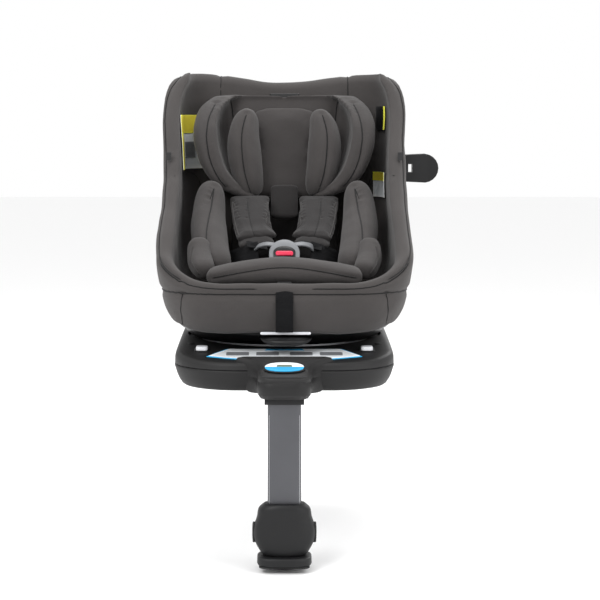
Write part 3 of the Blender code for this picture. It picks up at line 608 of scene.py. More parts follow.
PLANS = {}
PLAN_STEP = 0.004


def plan_at(level, inset):
    key = (level, round(inset, 4))
    if key not in PLANS:
        PLANS[key] = seat_plan(level * PLAN_STEP, inset)
    return PLANS[key]


def plan_point(k, z, inset):
    """Point number k of the seat's outline at a height, between two kept outlines."""
    level = math.floor(z / PLAN_STEP)
    t = z / PLAN_STEP - level
    (x0, y0), (x1, y1) = plan_at(level, inset)[k], plan_at(level + 1, inset)[k]
    return Vector((x0 + (x1 - x0) * t, y0 + (y1 - y0) * t, z))


def rim_height(x, y):
    """Top of the padded rim: it follows the side of the seat and dips in the middle of the back."""
    top = RIM_TOP - RIM_DIP * (1 - smooth(abs(x), 0.01, 0.15))
    return soft_min(spline(y, RIM_LINE), top, 0.028)


def floor_height(y):
    return FLOOR_LEVEL - FLOOR_SLOPE * y


def back_rise(y):
    """The seat's underside is cut away towards the back, to clear the bowl when it reclines."""
    return 0.04 * smooth(y, 0.01, 0.15)


def make_cover():
    count = len(seat_plan(0.2, 0.0))
    tops = [0.3] * count
    for _ in range(14):
        tops = [rim_height(*plan_point(k, z, 0.012).xy) for k, z in enumerate(tops)]

    def hem(k):
        x, y = seat_plan(0.09, 0.0)[k]
        side = 0.0105 * smooth(x, 0.14, 0.184) + 0.0025 * (1 - smooth(x, 0.03, 0.1))
        return HEM + max(side, back_rise(y) + 0.004 * smooth(y, 0.0, 0.1))

    half_rows = []
    for inset, lift in ((0.006, 0.02), (0.0055, 0.004), (0.003, 0.0), (0.0006, 0.0015)):
        half_rows.append([plan_point(k, hem(k) + lift, inset) for k in range(count)])
    outer_steps = 34
    for step in range(1, outer_steps + 1):
        t = step / outer_steps
        half_rows.append([plan_point(k, hem(k) + 0.004 + t * (tops[k] - RIM - hem(k) - 0.004), 0.0)
            for k in range(count)])
    for step in range(1, 12):
        angle = math.pi * step / 12
        half_rows.append([plan_point(k, tops[k] - RIM + RIM * math.sin(angle),
            WALL / 2 * (1 - math.cos(angle))) for k in range(count)])
    inner_steps = 26
    for step in range(inner_steps + 1):
        t = step / inner_steps
        row = []
        for k in range(count):
            foot = min(floor_height(plan_point(k, 0.2, WALL).y), tops[k] - RIM - 0.002)
            row.append(plan_point(k, tops[k] - RIM + t * (foot - tops[k] + RIM), WALL))
        half_rows.append(row)
    for inset in (0.036, 0.046, 0.062, 0.085, 0.11, 0.135, 0.16):
        row = []
        for k in range(count):
            flat = plan_point(k, FLOOR_LEVEL, inset)
            row.append(Vector((flat.x, flat.y, floor_height(flat.y))))
        half_rows.append(row)
    rows = [whole(row) for row in half_rows]
    cover = skin("cover_sewn", rows, "cover", None, (), (False, True))
    rumple(cover, 0.0012, 26.0, 3.0)
    rumple(cover, 0.0024, 9.0, 5.0)
    finish_piece(cover, "cover", "seat", ("seat_cover",))
    return cover, tops


def wall_patch(name, look, side, columns, heights, lift):
    """Sewn tag on the inner side wall, which follows its curve."""
    first, last = columns
    low, high = heights
    steps = 8
    grids = []
    for out in (lift, lift - TAG_THICKNESS):
        grid = []
        for i in range(steps + 1):
            z = low + (high - low) * i / steps
            row = [plan_point(k, z, WALL + out) for k in range(first, last + 1)]
            grid += [Vector((side * p.x, p.y, p.z)) for p in row]
        grids.append(grid)
    slab(name, *grids, last - first + 1, look, "seat")


def make_tags():
    """Blank tags in place of the printed ones."""
    for name, look, side, columns, heights, lift in (("tag_tall_back", "white_print", -1, (60, 78),
            (0.352, 0.452), 0.0034), ("tag_tall_band", "yellow_print", -1, (60, 78), (0.418, 0.452),
            0.0042), ("tag_tall_edge", "yellow_print", -1, (60, 65), (0.352, 0.418), 0.0042),
            ("tag_tall_field", "grey_print", -1, (69, 75), (0.372, 0.402), 0.0042),
            ("tag_short_back", "black", 1, (70, 75), (0.424, 0.468), 0.0034),
            ("tag_short_band", "yellow_print", 1, (70, 71), (0.424, 0.468), 0.0042),
            ("tag_low_back", "white_print", 1, (66, 75), (0.3, 0.346), 0.0034),
            ("tag_low_band", "yellow_print", 1, (66, 75), (0.33, 0.346), 0.0042)):
        wall_patch(name, look, side, columns, heights, lift)


def make_shell(tops):
    """Moulded bucket inside the cover; only its bottom shows."""
    count = len(tops)
    half_rows = []
    for inset, z in ((0.12, 0.0895), (0.03, 0.0892), (0.012, 0.0896), (0.0072, 0.0915), (0.0066, 0.099)):
        row = [plan_point(k, z, inset) for k in range(count)]
        half_rows.append([Vector((p.x, p.y, p.z + back_rise(p.y))) for p in row])
    for inset, steps in ((0.0075, (0.25, 0.5, 0.75, 1.0)), (0.014, (1.0, 0.75, 0.5, 0.25, 0.0))):
        for t in steps:
            row = []
            for k in range(count):
                z = SHELL_BOTTOM + t * (tops[k] - 0.018 - SHELL_BOTTOM)
                row.append(plan_point(k, z, inset))
            half_rows.append(row)
    half_rows.append([plan_point(k, 0.104, 0.12) for k in range(count)])
    skin("shell_bucket", [whole(row) for row in half_rows], "shell", "seat", ("seat_shell",), sharp=40)


def cover_seams(cover, tops):
    """Panel seams: along the outer edge, round the front panel and across the top of the rim."""
    start, end = 16, len(tops) - 16
    edge = [plan_point(k, tops[k] - 0.0055, 0.004) for k in range(start, end, 3)]
    apron = [plan_point(k, 0.156, 0.0) for k in range(0, 30, 2)]
    side = [(0.17, -0.19, 0.156), (0.1745, -0.175, 0.13), (0.172, -0.175, 0.096)]
    flank = [plan_point(k, tops[k] - 0.0075, 0.0015) for k in range(4, start + 8, 3)]
    for sign, name in ((1, "right"), (-1, "left")):
        surface_seam("seam_rim_" + name, cover, sided(sign, edge), 140)
        surface_seam("seam_apron_top_" + name, cover, sided(sign, apron), 90)
        surface_seam("seam_rim_front_" + name, cover, sided(sign, flank), 60)
        seam("seam_apron_side_" + name, cover, sided(sign, side), "seat", ray=Y, press=0.0022)
        across = [(0.121, 0.25, 0.6), (0.121, 0.275, 0.6), (0.121, 0.3, 0.6)]
        seam("seam_top_" + name, cover, sided(sign, across), "seat", ray=(0, 0, -1), press=0.003,
            width=0.012)
        lower = [(0.196, 0.02, 0.345), (0.17, 0.05, 0.343), (0.158, 0.06, 0.325), (0.152, 0.05, 0.3)]
        seam("seam_inner_" + name, cover, sided(sign, lower), "seat", ray=Y, press=0.0024)


def surface_seam(name, target, points, count, look="seam", radius=0.0011, press=0.0032, width=0.012,
        body="seat"):
    """Sewn line on the nearest place of a surface."""
    surface = surface_of(target)
    path = [surface.find_nearest(p)[0] for p in curve_points(points, count)]
    crease(target, path, press, width)
    surface = surface_of(target)
    path = [surface.find_nearest(p)[0] for p in path]
    return tube(name, path, radius, look, body, 8, True)


# ---- stuffed pads
PADS = []


def stuff(obj, look, body, stands_for, voxel=0.005, pressure=4.0, cap=0.007, fill=0.7):
    """Remesh a pad to an even cloth mesh and list it for the cloth simulation."""
    remesh = obj.modifiers.new("remesh", "REMESH")
    remesh.mode = "VOXEL"
    remesh.voxel_size = voxel
    relax = obj.modifiers.new("relax", "SMOOTH")
    relax.factor = 0.5
    relax.iterations = 4
    apply_modifiers(obj)
    PADS.append((obj, look, body, stands_for, pressure, cap, fill))


def stuffed_roll(name, path, widths, depths, across, look, body, stands_for, shape, cloth):
    """Roll listed for the cloth simulation: shape ends roll()'s arguments and cloth ends stuff()'s."""
    stuff(roll(name, path, widths, depths, across, look, None, (), *shape), look, body, stands_for,
        *cloth)


def simulate_pads():
    """Blow every pad up against its own cloth, and keep each point near its start."""
    starts = [[v.co.copy() for v in pad[0].data.vertices] for pad in PADS]
    for obj, _, _, _, pressure, _, _ in PADS:
        cloth = obj.modifiers.new("cloth", "CLOTH")
        for setting, value in CLOTH.items():
            setattr(cloth.settings, setting, value)
        cloth.settings.uniform_pressure_force = pressure
        cloth.settings.effector_weights.gravity = 0.0
        cloth.collision_settings.use_collision = False
        cloth.point_cache.frame_start = 1
        cloth.point_cache.frame_end = CLOTH_FRAMES
    for number in range(1, CLOTH_FRAMES + 1):
        bpy.context.scene.frame_set(number)
    for pad in PADS:
        apply_modifiers(pad[0])
    bpy.context.scene.frame_set(1)
    for (obj, look, body, stands_for, _, cap, fill), start in zip(PADS, starts):
        for vertex, origin in zip(obj.data.vertices, start):
            move = vertex.co - origin
            if move.length > cap:
                vertex.co = origin + move.normalized() * cap
        refine = obj.modifiers.new("refine", "SUBSURF")
        refine.levels = 1
        refine.render_levels = 1
        apply_modifiers(obj)
        rumple(obj, 0.0009, 34.0, 2.0)
        finish_piece(obj, look, body, stands_for)


def headrest_back(z):
    return HEADREST_BACK + BACK_SLOPE * (z - 0.1)


def headrest_plan(z, half, depth):
    """Outline of the headrest at a height: a panel with a thick wing along each side."""
    back = headrest_back(z) + 0.002
    panel = back - 0.024
    wing = 0.04
    tip = back - depth
    wing_radius = wing / 2
    right = [(0.0, back)] + arc(half - 0.032, back - 0.032, 0.032, 90, 0, 8)
    right += even([(half, back - 0.034), (half - 0.004, tip + wing_radius + 0.002)], 8)[1:]
    right += arc(half - 0.004 - wing_radius, tip + wing_radius, wing_radius, 0, -180, 10)
    inner = half - wing - 0.002
    right += even([(inner - 0.001, tip + wing_radius + 0.002), (inner - 0.006, panel - 0.024)], 8)[1:]
    right += [(inner - 0.012, panel - 0.008), (inner - 0.026, panel), (inner * 0.5, panel)]
    return whole([Vector((x, y, z)) for x, y in right] + [Vector((0.0, panel, z))])


def make_headrest():
    heights = [HEADREST_BOTTOM + (HEADREST_TOP - HEADREST_BOTTOM) * k / 30 for k in range(31)]
    widths, depths = [(h, w) for h, w, _ in HEADREST], [(h, d) for h, _, d in HEADREST]
    rows = [headrest_plan(z, spline(z, widths), spline(z, depths)) for z in heights]
    pad = skin("headrest_wings_and_panel", rows, "pad", None)
    stuff(pad, "pad", "headrest", ("headrest_pad",), 0.0045, 3.0, 0.003)
    line = [(0.054, 0.122, 0.3), (0.066, 0.124, 0.335), (0.074, 0.138, 0.385), (0.073, 0.156, 0.425),
        (0.062, 0.176, 0.458)]
    for sign, name in SIDES:
        stuffed_roll("head_roll_" + name, sided(sign, line), ((0, 0.04), (0.5, 0.06), (1, 0.038)),
            ((0, 0.054), (0.5, 0.066), (1, 0.054)), (1, -0.35, 0), "pad", "headrest",
            ("head_insert_" + name,), (), (0.004, 4.0, 0.004))
    stuffed_roll("head_panel_pad", [(0.0, 0.16, 0.292), (0.0, 0.192, 0.38), (0.0, 0.222, 0.466)],
        ((0, 0.12), (0.5, 0.128), (1, 0.118)), ((0, 0.018), (1, 0.018)), X, "pad", "headrest", (),
        (4.0, 44, 40, 0.3), (0.004, 3.0, 0.003))


def headrest_seams(pads):
    panel = pads["headrest_wings_and_panel"]
    wing = [(0.128, 0, 0.476), (0.138, 0, 0.45), (0.142, 0, 0.415), (0.136, 0, 0.375), (0.122, 0, 0.34),
        (0.108, 0, 0.32)]
    inner = [(0.098, 0, 0.478), (0.096, 0, 0.45), (0.095, 0, 0.42)]
    fin = [(0.07, 0, 0.455), (0.079, 0, 0.415), (0.074, 0, 0.35), (0.058, 0, 0.3)]
    for sign, name in SIDES:
        for kind, target, line, radius, press, width in (("headrest_wing_seam_", panel, wing, 0.0012,
                0.004, 0.013), ("headrest_inner_seam_", panel, inner, 0.0011, 0.0036, 0.012),
                ("head_roll_seam_", pads["head_roll_" + name], fin, 0.0011, 0.0036, 0.012)):
            seam(kind + name, target, sided(sign, line), "headrest", radius=radius, press=press,
                width=width)
    seam("headrest_lower_piping", pads["head_panel_pad"],
        [(-0.045, 0, 0.3), (0.0, 0, 0.298), (0.045, 0, 0.3)], "headrest", "piping", 0.0016, press=0.001)


def make_body_insert():
    front = [(-0.13, -0.19, 0.18), (-0.07, -0.206, 0.188), (0.0, -0.211, 0.193), (0.07, -0.206, 0.188),
        (0.13, -0.19, 0.18)]
    stuffed_roll("insert_front_roll", front, ((0, 0.044), (0.5, 0.052), (1, 0.044)),
        ((0, 0.028), (0.5, 0.042), (1, 0.028)), (0, 1, 0.2), "pad", "seat", (), (2.6, 60, 28, 0.16),
        (0.0045, 4.0, 0.004))
    cushion = [(0, -0.205, 0.182), (0, -0.175, 0.178), (0, -0.12, 0.167), (0, -0.03, 0.16),
        (0, 0.06, 0.158), (0, 0.118, 0.16)]
    stuffed_roll("insert_seat_cushion", cushion, ((0, 0.2), (0.4, 0.214), (1, 0.204)),
        ((0, 0.018), (0.5, 0.018), (1, 0.018)), X, "pad", "seat", ("insert_seat_pad",),
        (4.5, 60, 44, 0.12), (0.005, 3.0, 0.005))
    stuffed_roll("insert_back_cushion", [(0, 0.138, 0.175), (0, 0.158, 0.225), (0, 0.186, 0.3)],
        ((0, 0.196), (0.5, 0.206), (1, 0.2)), ((0, 0.018), (1, 0.02)), X, "dark_pad", "seat",
        ("insert_back_pad",), (4.5, 44, 44, 0.2), (0.005, 3.0, 0.004))
    bolster = [(0.112, -0.135, 0.188), (0.128, -0.06, 0.215), (0.137, 0.025, 0.262), (0.131, 0.09, 0.324)]
    wing = [(0.132, -0.178, 0.186), (0.145, -0.125, 0.203), (0.148, -0.08, 0.234)]
    for sign, name in SIDES:
        stuffed_roll("bolster_" + name, sided(sign, bolster), ((0, 0.05), (0.5, 0.062), (1, 0.048)),
            ((0, 0.046), (0.5, 0.076), (1, 0.062)), X, "pad", "seat", ("insert_bolster_" + name,),
            (2.3, 60, 32, 0.4), (0.0045, 4.0, 0.006))
        stuffed_roll("insert_wing_" + name, sided(sign, wing), ((0, 0.034), (0.5, 0.044), (1, 0.036)),
            ((0, 0.032), (0.5, 0.04), (1, 0.032)), X, "pad", "seat", (), (2.3, 44, 28, 0.45),
            (0.0045, 4.0, 0.004))
        for layer, (drop, wide) in enumerate(((0.0, 0.074), (0.007, 0.066))):
            path = [(0.063, 0.104, 0.302 - drop), (0.061, 0.05, 0.276 - drop),
                (0.055, 0.000, 0.25 - drop), (0.047, -0.036 - layer * 0.014,
                0.236 - drop - layer * 0.007)]
            stuffed_roll(f"shoulder_pad_{name}_layer_{layer + 1}", sided(sign, path),
                ((0, wide), (1, wide - 0.002)), ((0, 0.012), (1, 0.011)), X, "dark_pad", "headrest",
                ("shoulder_pad_" + name,) if layer == 0 else (), (5.0, 50, 32, 0.1), (0.0035, 3.0, 0.003))


def body_insert_seams(pads):
    seam("front_roll_seam", pads["insert_front_roll"], [(-0.122, 0, 0.18), (0, 0, 0.2), (0.122, 0, 0.18)],
        "seat", press=0.002, radius=0.001, width=0.008)
    for sign, name in SIDES:
        line = [(0.124, 0, 0.332), (0.13, 0, 0.29), (0.137, 0, 0.245), (0.13, 0, 0.205)]
        seam("bolster_seam_" + name, pads["bolster_" + name], sided(sign, line), "seat", press=0.0036,
            radius=0.0011, width=0.013)
        edge = [(0.158, 0, 0.228), (0.16, 0, 0.205), (0.145, 0, 0.183)]
        seam("wing_piping_" + name, pads["insert_wing_" + name], sided(sign, edge), "seat", "piping",
            0.0014, press=0.001)
        pad = pads[f"shoulder_pad_{name}_layer_1"]
        for x_shift, look, radius in ((-0.033, "piping", 0.0013), (0.004, "seam", 0.0008),
                (0.033, "piping", 0.0013)):
            along = [(0.063 + x_shift, 0, 0.305), (0.06 + x_shift, 0, 0.278), (0.055 + x_shift, 0, 0.258),
                (0.048 + x_shift, 0, 0.24)]
            seam(f"shoulder_pad_line_{name}_{round((x_shift + 0.033) * 1000)}", pad, sided(sign, along),
                "headrest", look, radius, press=0.0012, width=0.006)


# ---- harness
def make_harness():
    up = Vector((0.0, math.sin(BUCKLE_TILT), math.cos(BUCKLE_TILT)))
    face = Vector((0.0, -up.z, up.y))
    centre = BUCKLE_MIDDLE
    soft_plate("buckle_body", rounded(0.027, 0.0255, 0.013), centre, X, up, 0.021, "black", "seat",
        ("buckle_housing",), 0.003)
    dome = arc(0.0, 0.006, 0.0265, 0, 180, 20) + [(-0.0262, -0.004), (0.0262, -0.004)]
    soft_plate("buckle_dome", dome, centre + face * 0.0085, X, up, 0.011, "grey_print", "seat", (), 0.003)
    arch = [(x, y * 0.62) for x, y in arc(0.0, 0.006, 0.019, 0, 180, 16)]
    arch += [(-0.0188, -0.01), (0.0188, -0.01)]
    soft_plate("buckle_arch", arch, centre + face * 0.015 + up * 0.002, X, up, 0.004, "black", "seat", (),
        0.002)
    soft_plate("buckle_push", rounded(0.015, 0.0044, 0.0035), centre + face * 0.018 + up * 0.001, X, up,
        0.005, "red", "buckle_button", ("buckle_button",), 0.001)
    tongue = [(0.049, -0.068, 0.22), (0.043, -0.082, 0.2255), (0.03, -0.092, 0.229),
        (0.014, -0.094, 0.227)]
    lap = [(0.046, -0.072, 0.216), (0.075, -0.052, 0.205), (0.1, -0.012, 0.192), (0.12, 0.04, 0.178)]
    shoulder = [(0.049, -0.02, 0.24), (0.049, -0.046, 0.228), (0.047, -0.07, 0.22)]
    for sign, name in SIDES:
        strap("tongue_arm_" + name, sided(sign, tongue), 0.012, 0.004, ((0.2, 1, 0.3), (0, 1, 0.5)),
            "grey_print", "seat", ("harness_tongue_" + name,))
        strap("lap_webbing_" + name, sided(sign, lap), WEBBING, 0.0018, ((0, 0.4, 1), (0, 0.5, 1)),
            "webbing", "seat", ("lap_strap_" + name,))
        stub = strap("shoulder_webbing_" + name, sided(sign, shoulder), WEBBING, 0.0018,
            (X, (0.8, 0.5, 0)), "webbing", None)
        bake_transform(stub)
    strap("crotch_webbing", [(0, -0.122, 0.183), (0, -0.128, 0.176), (0, -0.13, 0.17)], WEBBING, 0.002, X,
        "webbing", "seat", ("crotch_strap",))
    chest = roll("chest_panel_pad", [(0, 0.108, 0.262), (0, 0.124, 0.292), (0, 0.14, 0.322)],
        ((0, 0.05), (1, 0.05)), ((0, 0.014), (1, 0.014)), X, "dark_pad", "headrest", (), 4.0, 30, 28, 0.3)
    path = [(0.0, -0.2565, 0.162), (0.0, -0.26, 0.15), (0.0, -0.26, 0.125), (0.0, -0.252, 0.093)]
    strap("adjuster_pull_webbing", path, 0.029, 0.0024, X, "webbing", "seat", ("adjuster_webbing",), 60)
    points = curve_points(path, 46)
    for k, point in enumerate(points[2:-1]):
        strap(f"webbing_rib_{k:02d}", [point + Vector((x, -0.0013, 0)) for x in (-0.0138, 0.0, 0.0138)],
            0.0009, 0.0008, Z, "webbing", "seat", (), 6)


# ---- base
def base_top(y):
    return spline(y, ((-0.3, 0.0476), (-0.18, 0.0585), (0.05, 0.066), (0.26, 0.067)))


def base_plan(inset):
    half, front, back = BASE_HALF - inset, BASE_FRONT + inset, BASE_BACK - inset
    fr, br = BASE_FRONT_RADIUS - inset, BASE_BACK_RADIUS - inset
    right = even([(0.0, front), (half - fr, front)], 14)[:-1]
    right += arc(half - fr, front + fr, fr, -90, 0, 18)[:-1]
    right += even([(half, front + fr), (half, back - br)], 26)[:-1]
    right += arc(half - br, back - br, br, 0, 90, 12)[:-1]
    right += even([(half - br, back), (0.0, back)], 14)
    return right + [(-x, y) for x, y in reversed(right[1:-1])]


def make_base():
    rows = [[Vector((x, y, z)) for x, y in base_plan(inset) if abs(x) > 0.046 or y > -0.2]
        for inset, z in ((0.0195, -0.0003), (0.0165, 0.0003), (0.0122, 0.0032), (0.0073, 0.0108),
        (0.0042, 0.0178), (0.0014, 0.0268), (0.0000, 0.0312), (-0.0004, 0.0335), (0.003, 0.0348))]
    columns = min(len(row) for row in rows)
    rows = [row[(len(row) - columns) // 2:][:columns] for row in rows]
    skin("base_tray_side", rows, "base", "base", (), (False, False), None, False)
    rows = []
    for inset, share in ((0.004, 0.0), (0.001, 0.012), (0.0, 0.06), (0.0004, 0.55), (0.0016, 0.8),
            (0.0042, 0.925), (0.008, 0.98), (0.0125, 1.0)):
        rows.append([Vector((x, y, TRAY_TOP + share * (base_top(y) - TRAY_TOP)))
            for x, y in base_plan(inset)])
    edge = base_plan(0.0125)
    ring = [Vector((x, y, 0.0)).normalized() * DISH_RADIUS for x, y in edge]
    for t in (0.35, 0.7, 1.0):
        rows.append([Vector((x + (p.x - x) * t, y + (p.y - y) * t, base_top(y + (p.y - y) * t)))
            for (x, y), p in zip(edge, ring)])
    rows.append([Vector((p.x * 0.996, p.y * 0.996, 0.0575)) for p in ring])
    rows.append([Vector((p.x * 0.5, p.y * 0.5, 0.056)) for p in ring])
    skin("base_deck", rows, "base", "base", ("base_upper_housing",), (False, True), 50)
    bulge = []
    for z, inset, flare in ((-0.0025, 0.008, 0.0), (-0.0005, 0.003, 0.0), (0.005, 0.0006, 0.002),
            (0.015, 0.0, 0.006), (0.0235, 0.0, 0.01), (0.0248, 0.0012, 0.01), (0.0262, 0.0, 0.011),
            (0.034, 0.0, 0.015), (0.04, 0.0006, 0.018), (0.044, 0.0022, 0.019), (0.047, 0.006, 0.019),
            (0.0485, 0.012, 0.016)):
        inset -= 0.0007
        half = 0.0425 - inset
        side = curve_points([(half + flare + 0.02, -0.288, 0), (half + flare * 0.55 + 0.004, -0.304, 0),
            (half + flare * 0.15, -0.322, 0), (half, -0.345, 0)], 12)
        nose = [Vector((x, y, 0)) for x, y in arc(half - 0.026, -0.349 + inset, 0.026, 0, -90, 10)]
        right = side + nose[1:] + [Vector((0.0, -0.375 + inset, 0))]
        outline = right + [Vector((-p.x, p.y, 0)) for p in reversed(right[:-1])]
        drop = 0.26 * smooth(z, 0.03, 0.0485)
        bulge.append([Vector((p.x, p.y, z + drop * (p.y + 0.322))) for p in outline])
    skin("base_nose", bulge, "base", "base", (), (False, True), None, False)
    tilt = Vector((0.0, 1.0, 0.26)).normalized()
    middle = Vector((0.0, -0.342, 0.0452))
    oval = [(0.0315 * c, 0.019 * s) for c, s in superellipse(40, 2.3)]
    soft_plate("indicator_rim", [(u * 1.06, v * 1.06) for u, v in oval], middle, X, tilt, 0.003, "black",
        "base")
    soft_plate("indicator_panel", oval, middle + Vector((0, 0, 0.001)), X, tilt, 0.0034, "white_print",
        "base", ("leg_indicator_lens",))
    lower = [(u, min(v, -0.002)) for u, v in oval]
    soft_plate("indicator_lower", lower, middle + Vector((0, -0.0004, 0.0016)), X, tilt, 0.0034,
        "blue_print", "base")
    soft_plate("indicator_window", rounded(0.0125, 0.0045, 0.003), middle + Vector((0, 0.0015, 0.0022)),
        X, tilt, 0.0034, "green_print", "base")
    make_guide_label()
    for sign, name in SIDES:
        outline = rounded(0.0098, 0.0148, 0.0065)
        at = Vector((sign * 0.139, -0.2, 0.0))
        soft_plate("button_well_" + name, rounded(0.0125, 0.0178, 0.0085),
            at + Vector((0, 0, base_top(-0.2) + 0.0006)), X, (0, 1, 0.06), 0.0022, "black", "base")
        soft_plate("adjust_button_" + name, outline, at + Vector((0, 0, 0.056)), X, Y, 0.015, "grey",
            "isofix_button_" + name, ("isofix_adjust_button_" + name,), 0.0012, 0.36)
    for x, y in ((0.16, -0.14), (0.165, 0.19), (0.12, 0.235), (0.055, -0.27)):
        for sign in (1, -1):
            screw_cap(sign * x, y)


def screw_cap(x, y):
    ring = [(0.0052 * math.cos(a), 0.0052 * math.sin(a))
        for a in (2 * math.pi * k / 24 for k in range(24))]
    soft_plate(f"screw_cap_{round(x * 1000)}_{round(y * 1000)}", ring, (x, y, base_top(y) + 0.0002), X,
        (0, 1, 0.05), 0.0016, "black", "base", (), 0.0006)


def make_guide_label():
    """Blank guide plate on the front slope: a pale plate with a coloured border and empty fields."""
    def plate(name, look, front, back, wide_front, wide_back, lift, bow, stands_for=()):
        steps, across = 10, 28
        grids = []
        for height in (lift, lift - TAG_THICKNESS):
            grid = []
            for i in range(steps + 1):
                t = i / steps
                half = wide_front + (wide_back - wide_front) * t
                for k in range(across + 1):
                    u = 2 * k / across - 1
                    y = front + (back - front) * t + bow * u * u * (1 - t)
                    grid.append(Vector((u * half, y, base_top(y) + height)))
            grids.append(grid)
        slab(name, *grids, across + 1, look, "base", stands_for)

    plate("guide_border", "blue_print", -0.285, -0.196, 0.129, 0.096, 0.0012, 0.03,
        ("guide_label_plate",))
    plate("guide_plate", "white_print", -0.2815, -0.199, 0.1255, 0.093, 0.0017, 0.03)
    plate("guide_banner", "blue_print", -0.211, -0.202, 0.033, 0.03, 0.0021, 0.0)
    for k, x in enumerate((-0.078, -0.028, 0.028, 0.078)):
        outline = rounded(0.019, 0.013, 0.003)
        soft_plate(f"guide_field_{k + 1}", outline, (x, -0.238, base_top(-0.238) + 0.0016), X,
            (0, 1, 0.085), 0.001, "grey_print", "base")


# ---- bowl, handle, leg
def lathe(name, profile, look, body, stands_for=(), segments=96):
    rows = [[Vector((r * math.cos(a), r * math.sin(a), z))
        for a in (2 * math.pi * k / segments for k in range(segments))] for r, z in profile]
    return skin(name, rows, look, body, stands_for, sharp=60)


def make_turntable():
    lathe("turntable_bowl", ((0.05, 0.06), (0.15, 0.0602), (0.159, 0.0614), (0.1675, 0.0652),
        (0.174, 0.0712), (0.1776, 0.0778), (0.179, 0.082), (0.1784, 0.083), (0.1766, 0.0826),
        (0.1736, 0.0772), (0.1655, 0.0712), (0.15, 0.069), (0.06, 0.068)), "shell", "turntable",
        ("turntable_dish",))
    rows = []
    for k in range(41):
        u = 2 * k / 40 - 1
        x = 0.003 + 0.043 * u
        end = (1 - abs(u) ** 5) ** 0.5 if abs(u) < 1 else 0.0
        reach = 0.0385 * (0.35 + 0.65 * math.sqrt(max(0.0, 1 - u * u * 0.85)))
        height = 0.0027 + 0.0046 * math.sqrt(max(0.0, 1 - u * u))
        rows.append([Vector((x, -0.2275 - 0.003 + c * reach * max(0.25, end),
            0.084 - height + s * height * max(0.25, end))) for c, s in superellipse(28, 3.0)])
    skin("recline_grip", rows, "shell", "recline_handle", ("recline_handle",))
    soft_plate("handle_backing", rounded(0.042, 0.0022, 0.002), (0.002, -0.244, 0.0905), X, Z, 0.004,
        "grey", "seat")


def leg_rows(levels, power, middle):
    """Rows of a lofted leg piece: height, half width, half depth."""
    return [[Vector((c * half, middle + s * deep, z)) for c, s in superellipse(48, power)]
        for z, half, deep in levels]


def make_leg():
    tube_rows = [[Vector((u, LEG_Y + v, z)) for u, v in rounded(0.0273, 0.015, 0.0095, 8)]
        for z in (-0.0128, -0.04, -0.09, -0.14, -0.1745)]
    skin("leg_tube", tube_rows, "paint", "load_leg", ("leg_outer_tube",), sharp=45)
    foot = ((-0.1748, 0.033, 0.024), (-0.177, 0.036, 0.0255), (-0.1815, 0.041, 0.0268),
        (-0.187, 0.0432, 0.0272), (-0.196, 0.0445, 0.0276), (-0.207, 0.048, 0.0282),
        (-0.218, 0.0503, 0.0285), (-0.228, 0.05, 0.0285), (-0.237, 0.0476, 0.0282),
        (-0.245, 0.044, 0.0276), (-0.252, 0.0398, 0.0268), (-0.2575, 0.036, 0.0255),
        (-0.2585, 0.034, 0.0245))
    table = sorted(foot)
    heights = [FOOT_BOTTOM + (FOOT_TOP - FOOT_BOTTOM) * k / 60 for k in range(61)]
    smooth_foot = [(z, spline(z, [(h, w) for h, w, _ in table]), spline(z, [(h, d) for h, _, d in table]))
        for z in heights]
    housing = skin("foot_body", leg_rows(smooth_foot, 2.7, -0.345), "foot", "load_leg",
        ("leg_foot_housing",), sharp=50)
    for sign, name in SIDES:
        line = [(sign * x, 0, z) for x, z in ((0.024, -0.1785), (0.032, -0.186), (0.035, -0.2),
            (0.033, -0.218), (0.0285, -0.236), (0.024, -0.256))]
        seam("foot_panel_line_" + name, housing, line, "load_leg", "black", 0.0006, press=0.0012,
            width=0.004)
        button = [(0.0075 * c, 0.017 * s) for c, s in superellipse(30, 2.6)]
        soft_plate("foot_button_" + name, button, (sign * 0.0485, -0.345, -0.2225), (0, sign, 0), Z,
            0.006, "black", "leg_button_" + name, ("leg_adjust_button_" + name,), 0.001)
    seam("foot_panel_line_top", housing, [(-0.024, 0, -0.1785), (0, 0, -0.1775), (0.024, 0, -0.1785)],
        "load_leg", "black", 0.0006, press=0.0008, width=0.004)
    pad = ((-0.2588, 0.04, 0.032), (-0.2592, 0.043, 0.0345), (-0.2605, 0.044, 0.0355),
        (-0.264, 0.0442, 0.0358), (-0.27, 0.0444, 0.0359), (-0.2718, 0.0436, 0.0352),
        (-0.2724, 0.041, 0.033))
    skin("foot_plate", leg_rows(pad, 3.4, -0.3491), "foot", "leg_foot", ("leg_foot_pad",), sharp=60)


# ---- plain moulded nodes keep their solids
CAD_LOOKS = {
    "steel": ("base_frame_plate", "turntable_bearing_ring", "leg_hinge_pin", "isofix_jaw_left",
              "isofix_jaw_right", "leg_inner_tube"),
    "dark_steel": ("isofix_crossbar", "isofix_arm_left", "isofix_arm_right"),
    "base": ("base_lower_housing",),
    "foot": ("leg_knuckle",),
    "rubber": ("leg_foot_sole",),
    "grey": ("rotation_release_lever",),
    "shell": ("recline_carriage", "recline_rocker", "headrest_shell"),
    "black": ("foot_sensor_pin", "tongue_holder_left", "tongue_holder_right", "harness_adjuster_housing",
              "pod_socket", "harness_release_button", "headrest_lever", "side_impact_pod"),
    "red": ("isofix_release_left", "isofix_release_right"),
}


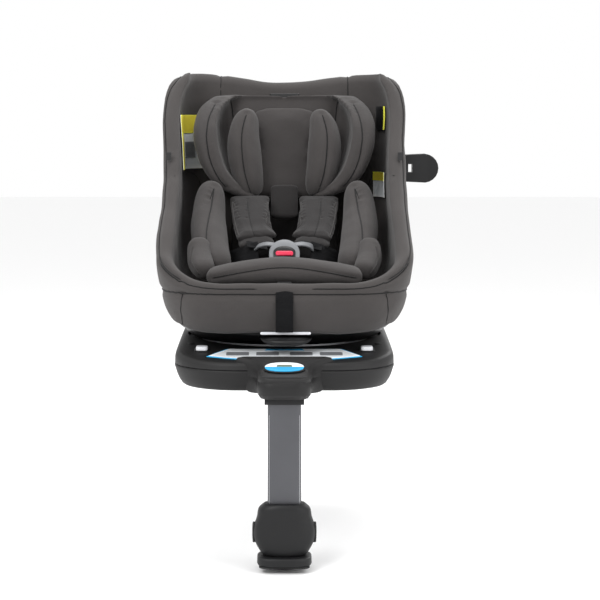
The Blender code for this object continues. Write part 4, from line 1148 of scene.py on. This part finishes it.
def dress_cad():
    looks = {node: look for look, nodes in CAD_LOOKS.items() for node in nodes}
    for obj in bpy.data.objects:
        if obj.name in looks and obj.type == "MESH":
            obj.data.materials.clear()
            obj.data.materials.append(MATERIALS[looks[obj.name]])
            obj.data.shade_smooth()
            obj.data.set_sharp_from_angle(angle=math.radians(CREASE_ANGLE))


# ---- floor, light and camera
def make_studio():
    floor_z = CAD_BOX[0].z - 0.0005
    mesh = bpy.data.meshes.new("floor")
    size = 14.0
    mesh.from_pydata([(-size, -size, floor_z), (size, -size, floor_z), (size, size, floor_z),
        (-size, size, floor_z)], [], [(0, 1, 2, 3)])
    floor = add_object("floor", mesh)
    floor.data.materials.append(nodes_of("studio_floor", (0.93, 0.93, 0.93), 0.8)[0])
    world = bpy.data.worlds.new("studio")
    world.use_nodes = True
    world.node_tree.nodes["Background"].inputs["Color"].default_value = (1.0, 1.0, 1.0, 1.0)
    world.node_tree.nodes["Background"].inputs["Strength"].default_value = 1.0
    bpy.context.scene.world = world
    aim = Vector((0.0, 0.0, 0.2))
    for name, place, energy, size in (("key", (-1.5, -2.4, 2.3), 62.0, 1.6),
            ("fill", (2.3, -1.8, 1.2), 26.0, 1.8), ("top", (0.2, 0.4, 2.6), 36.0, 1.6),
            ("rim", (1.2, 2.2, 1.6), 22.0, 1.2)):
        light = bpy.data.lights.new(name, "AREA")
        light.energy = energy
        light.size = size
        lamp = add_object(name, light)
        lamp.location = place
        lamp.rotation_euler = (aim - Vector(place)).to_track_quat("-Z", "Y").to_euler()
    view = bpy.data.cameras.new("camera")
    view.sensor_width = 36.0
    view.lens = 114.7
    view.shift_x = 0.026
    camera = add_object("camera", view)
    camera.location = (0.0, -CAMERA_DISTANCE, CAMERA_HEIGHT)
    camera.rotation_euler = (math.radians(84.5), 0.0, 0.0)
    bpy.context.scene.camera = camera
    bpy.context.scene.view_settings.view_transform = "Standard"


cover, rim_tops = make_cover()
make_headrest()
make_shell(rim_tops)
make_tags()
make_body_insert()
simulate_pads()
cover_seams(cover, rim_tops)
stuffed = {pad[0].name: pad[0] for pad in PADS}
headrest_seams(stuffed)
body_insert_seams(stuffed)
make_harness()
make_base()
make_turntable()
make_leg()
dress_cad()
make_studio()
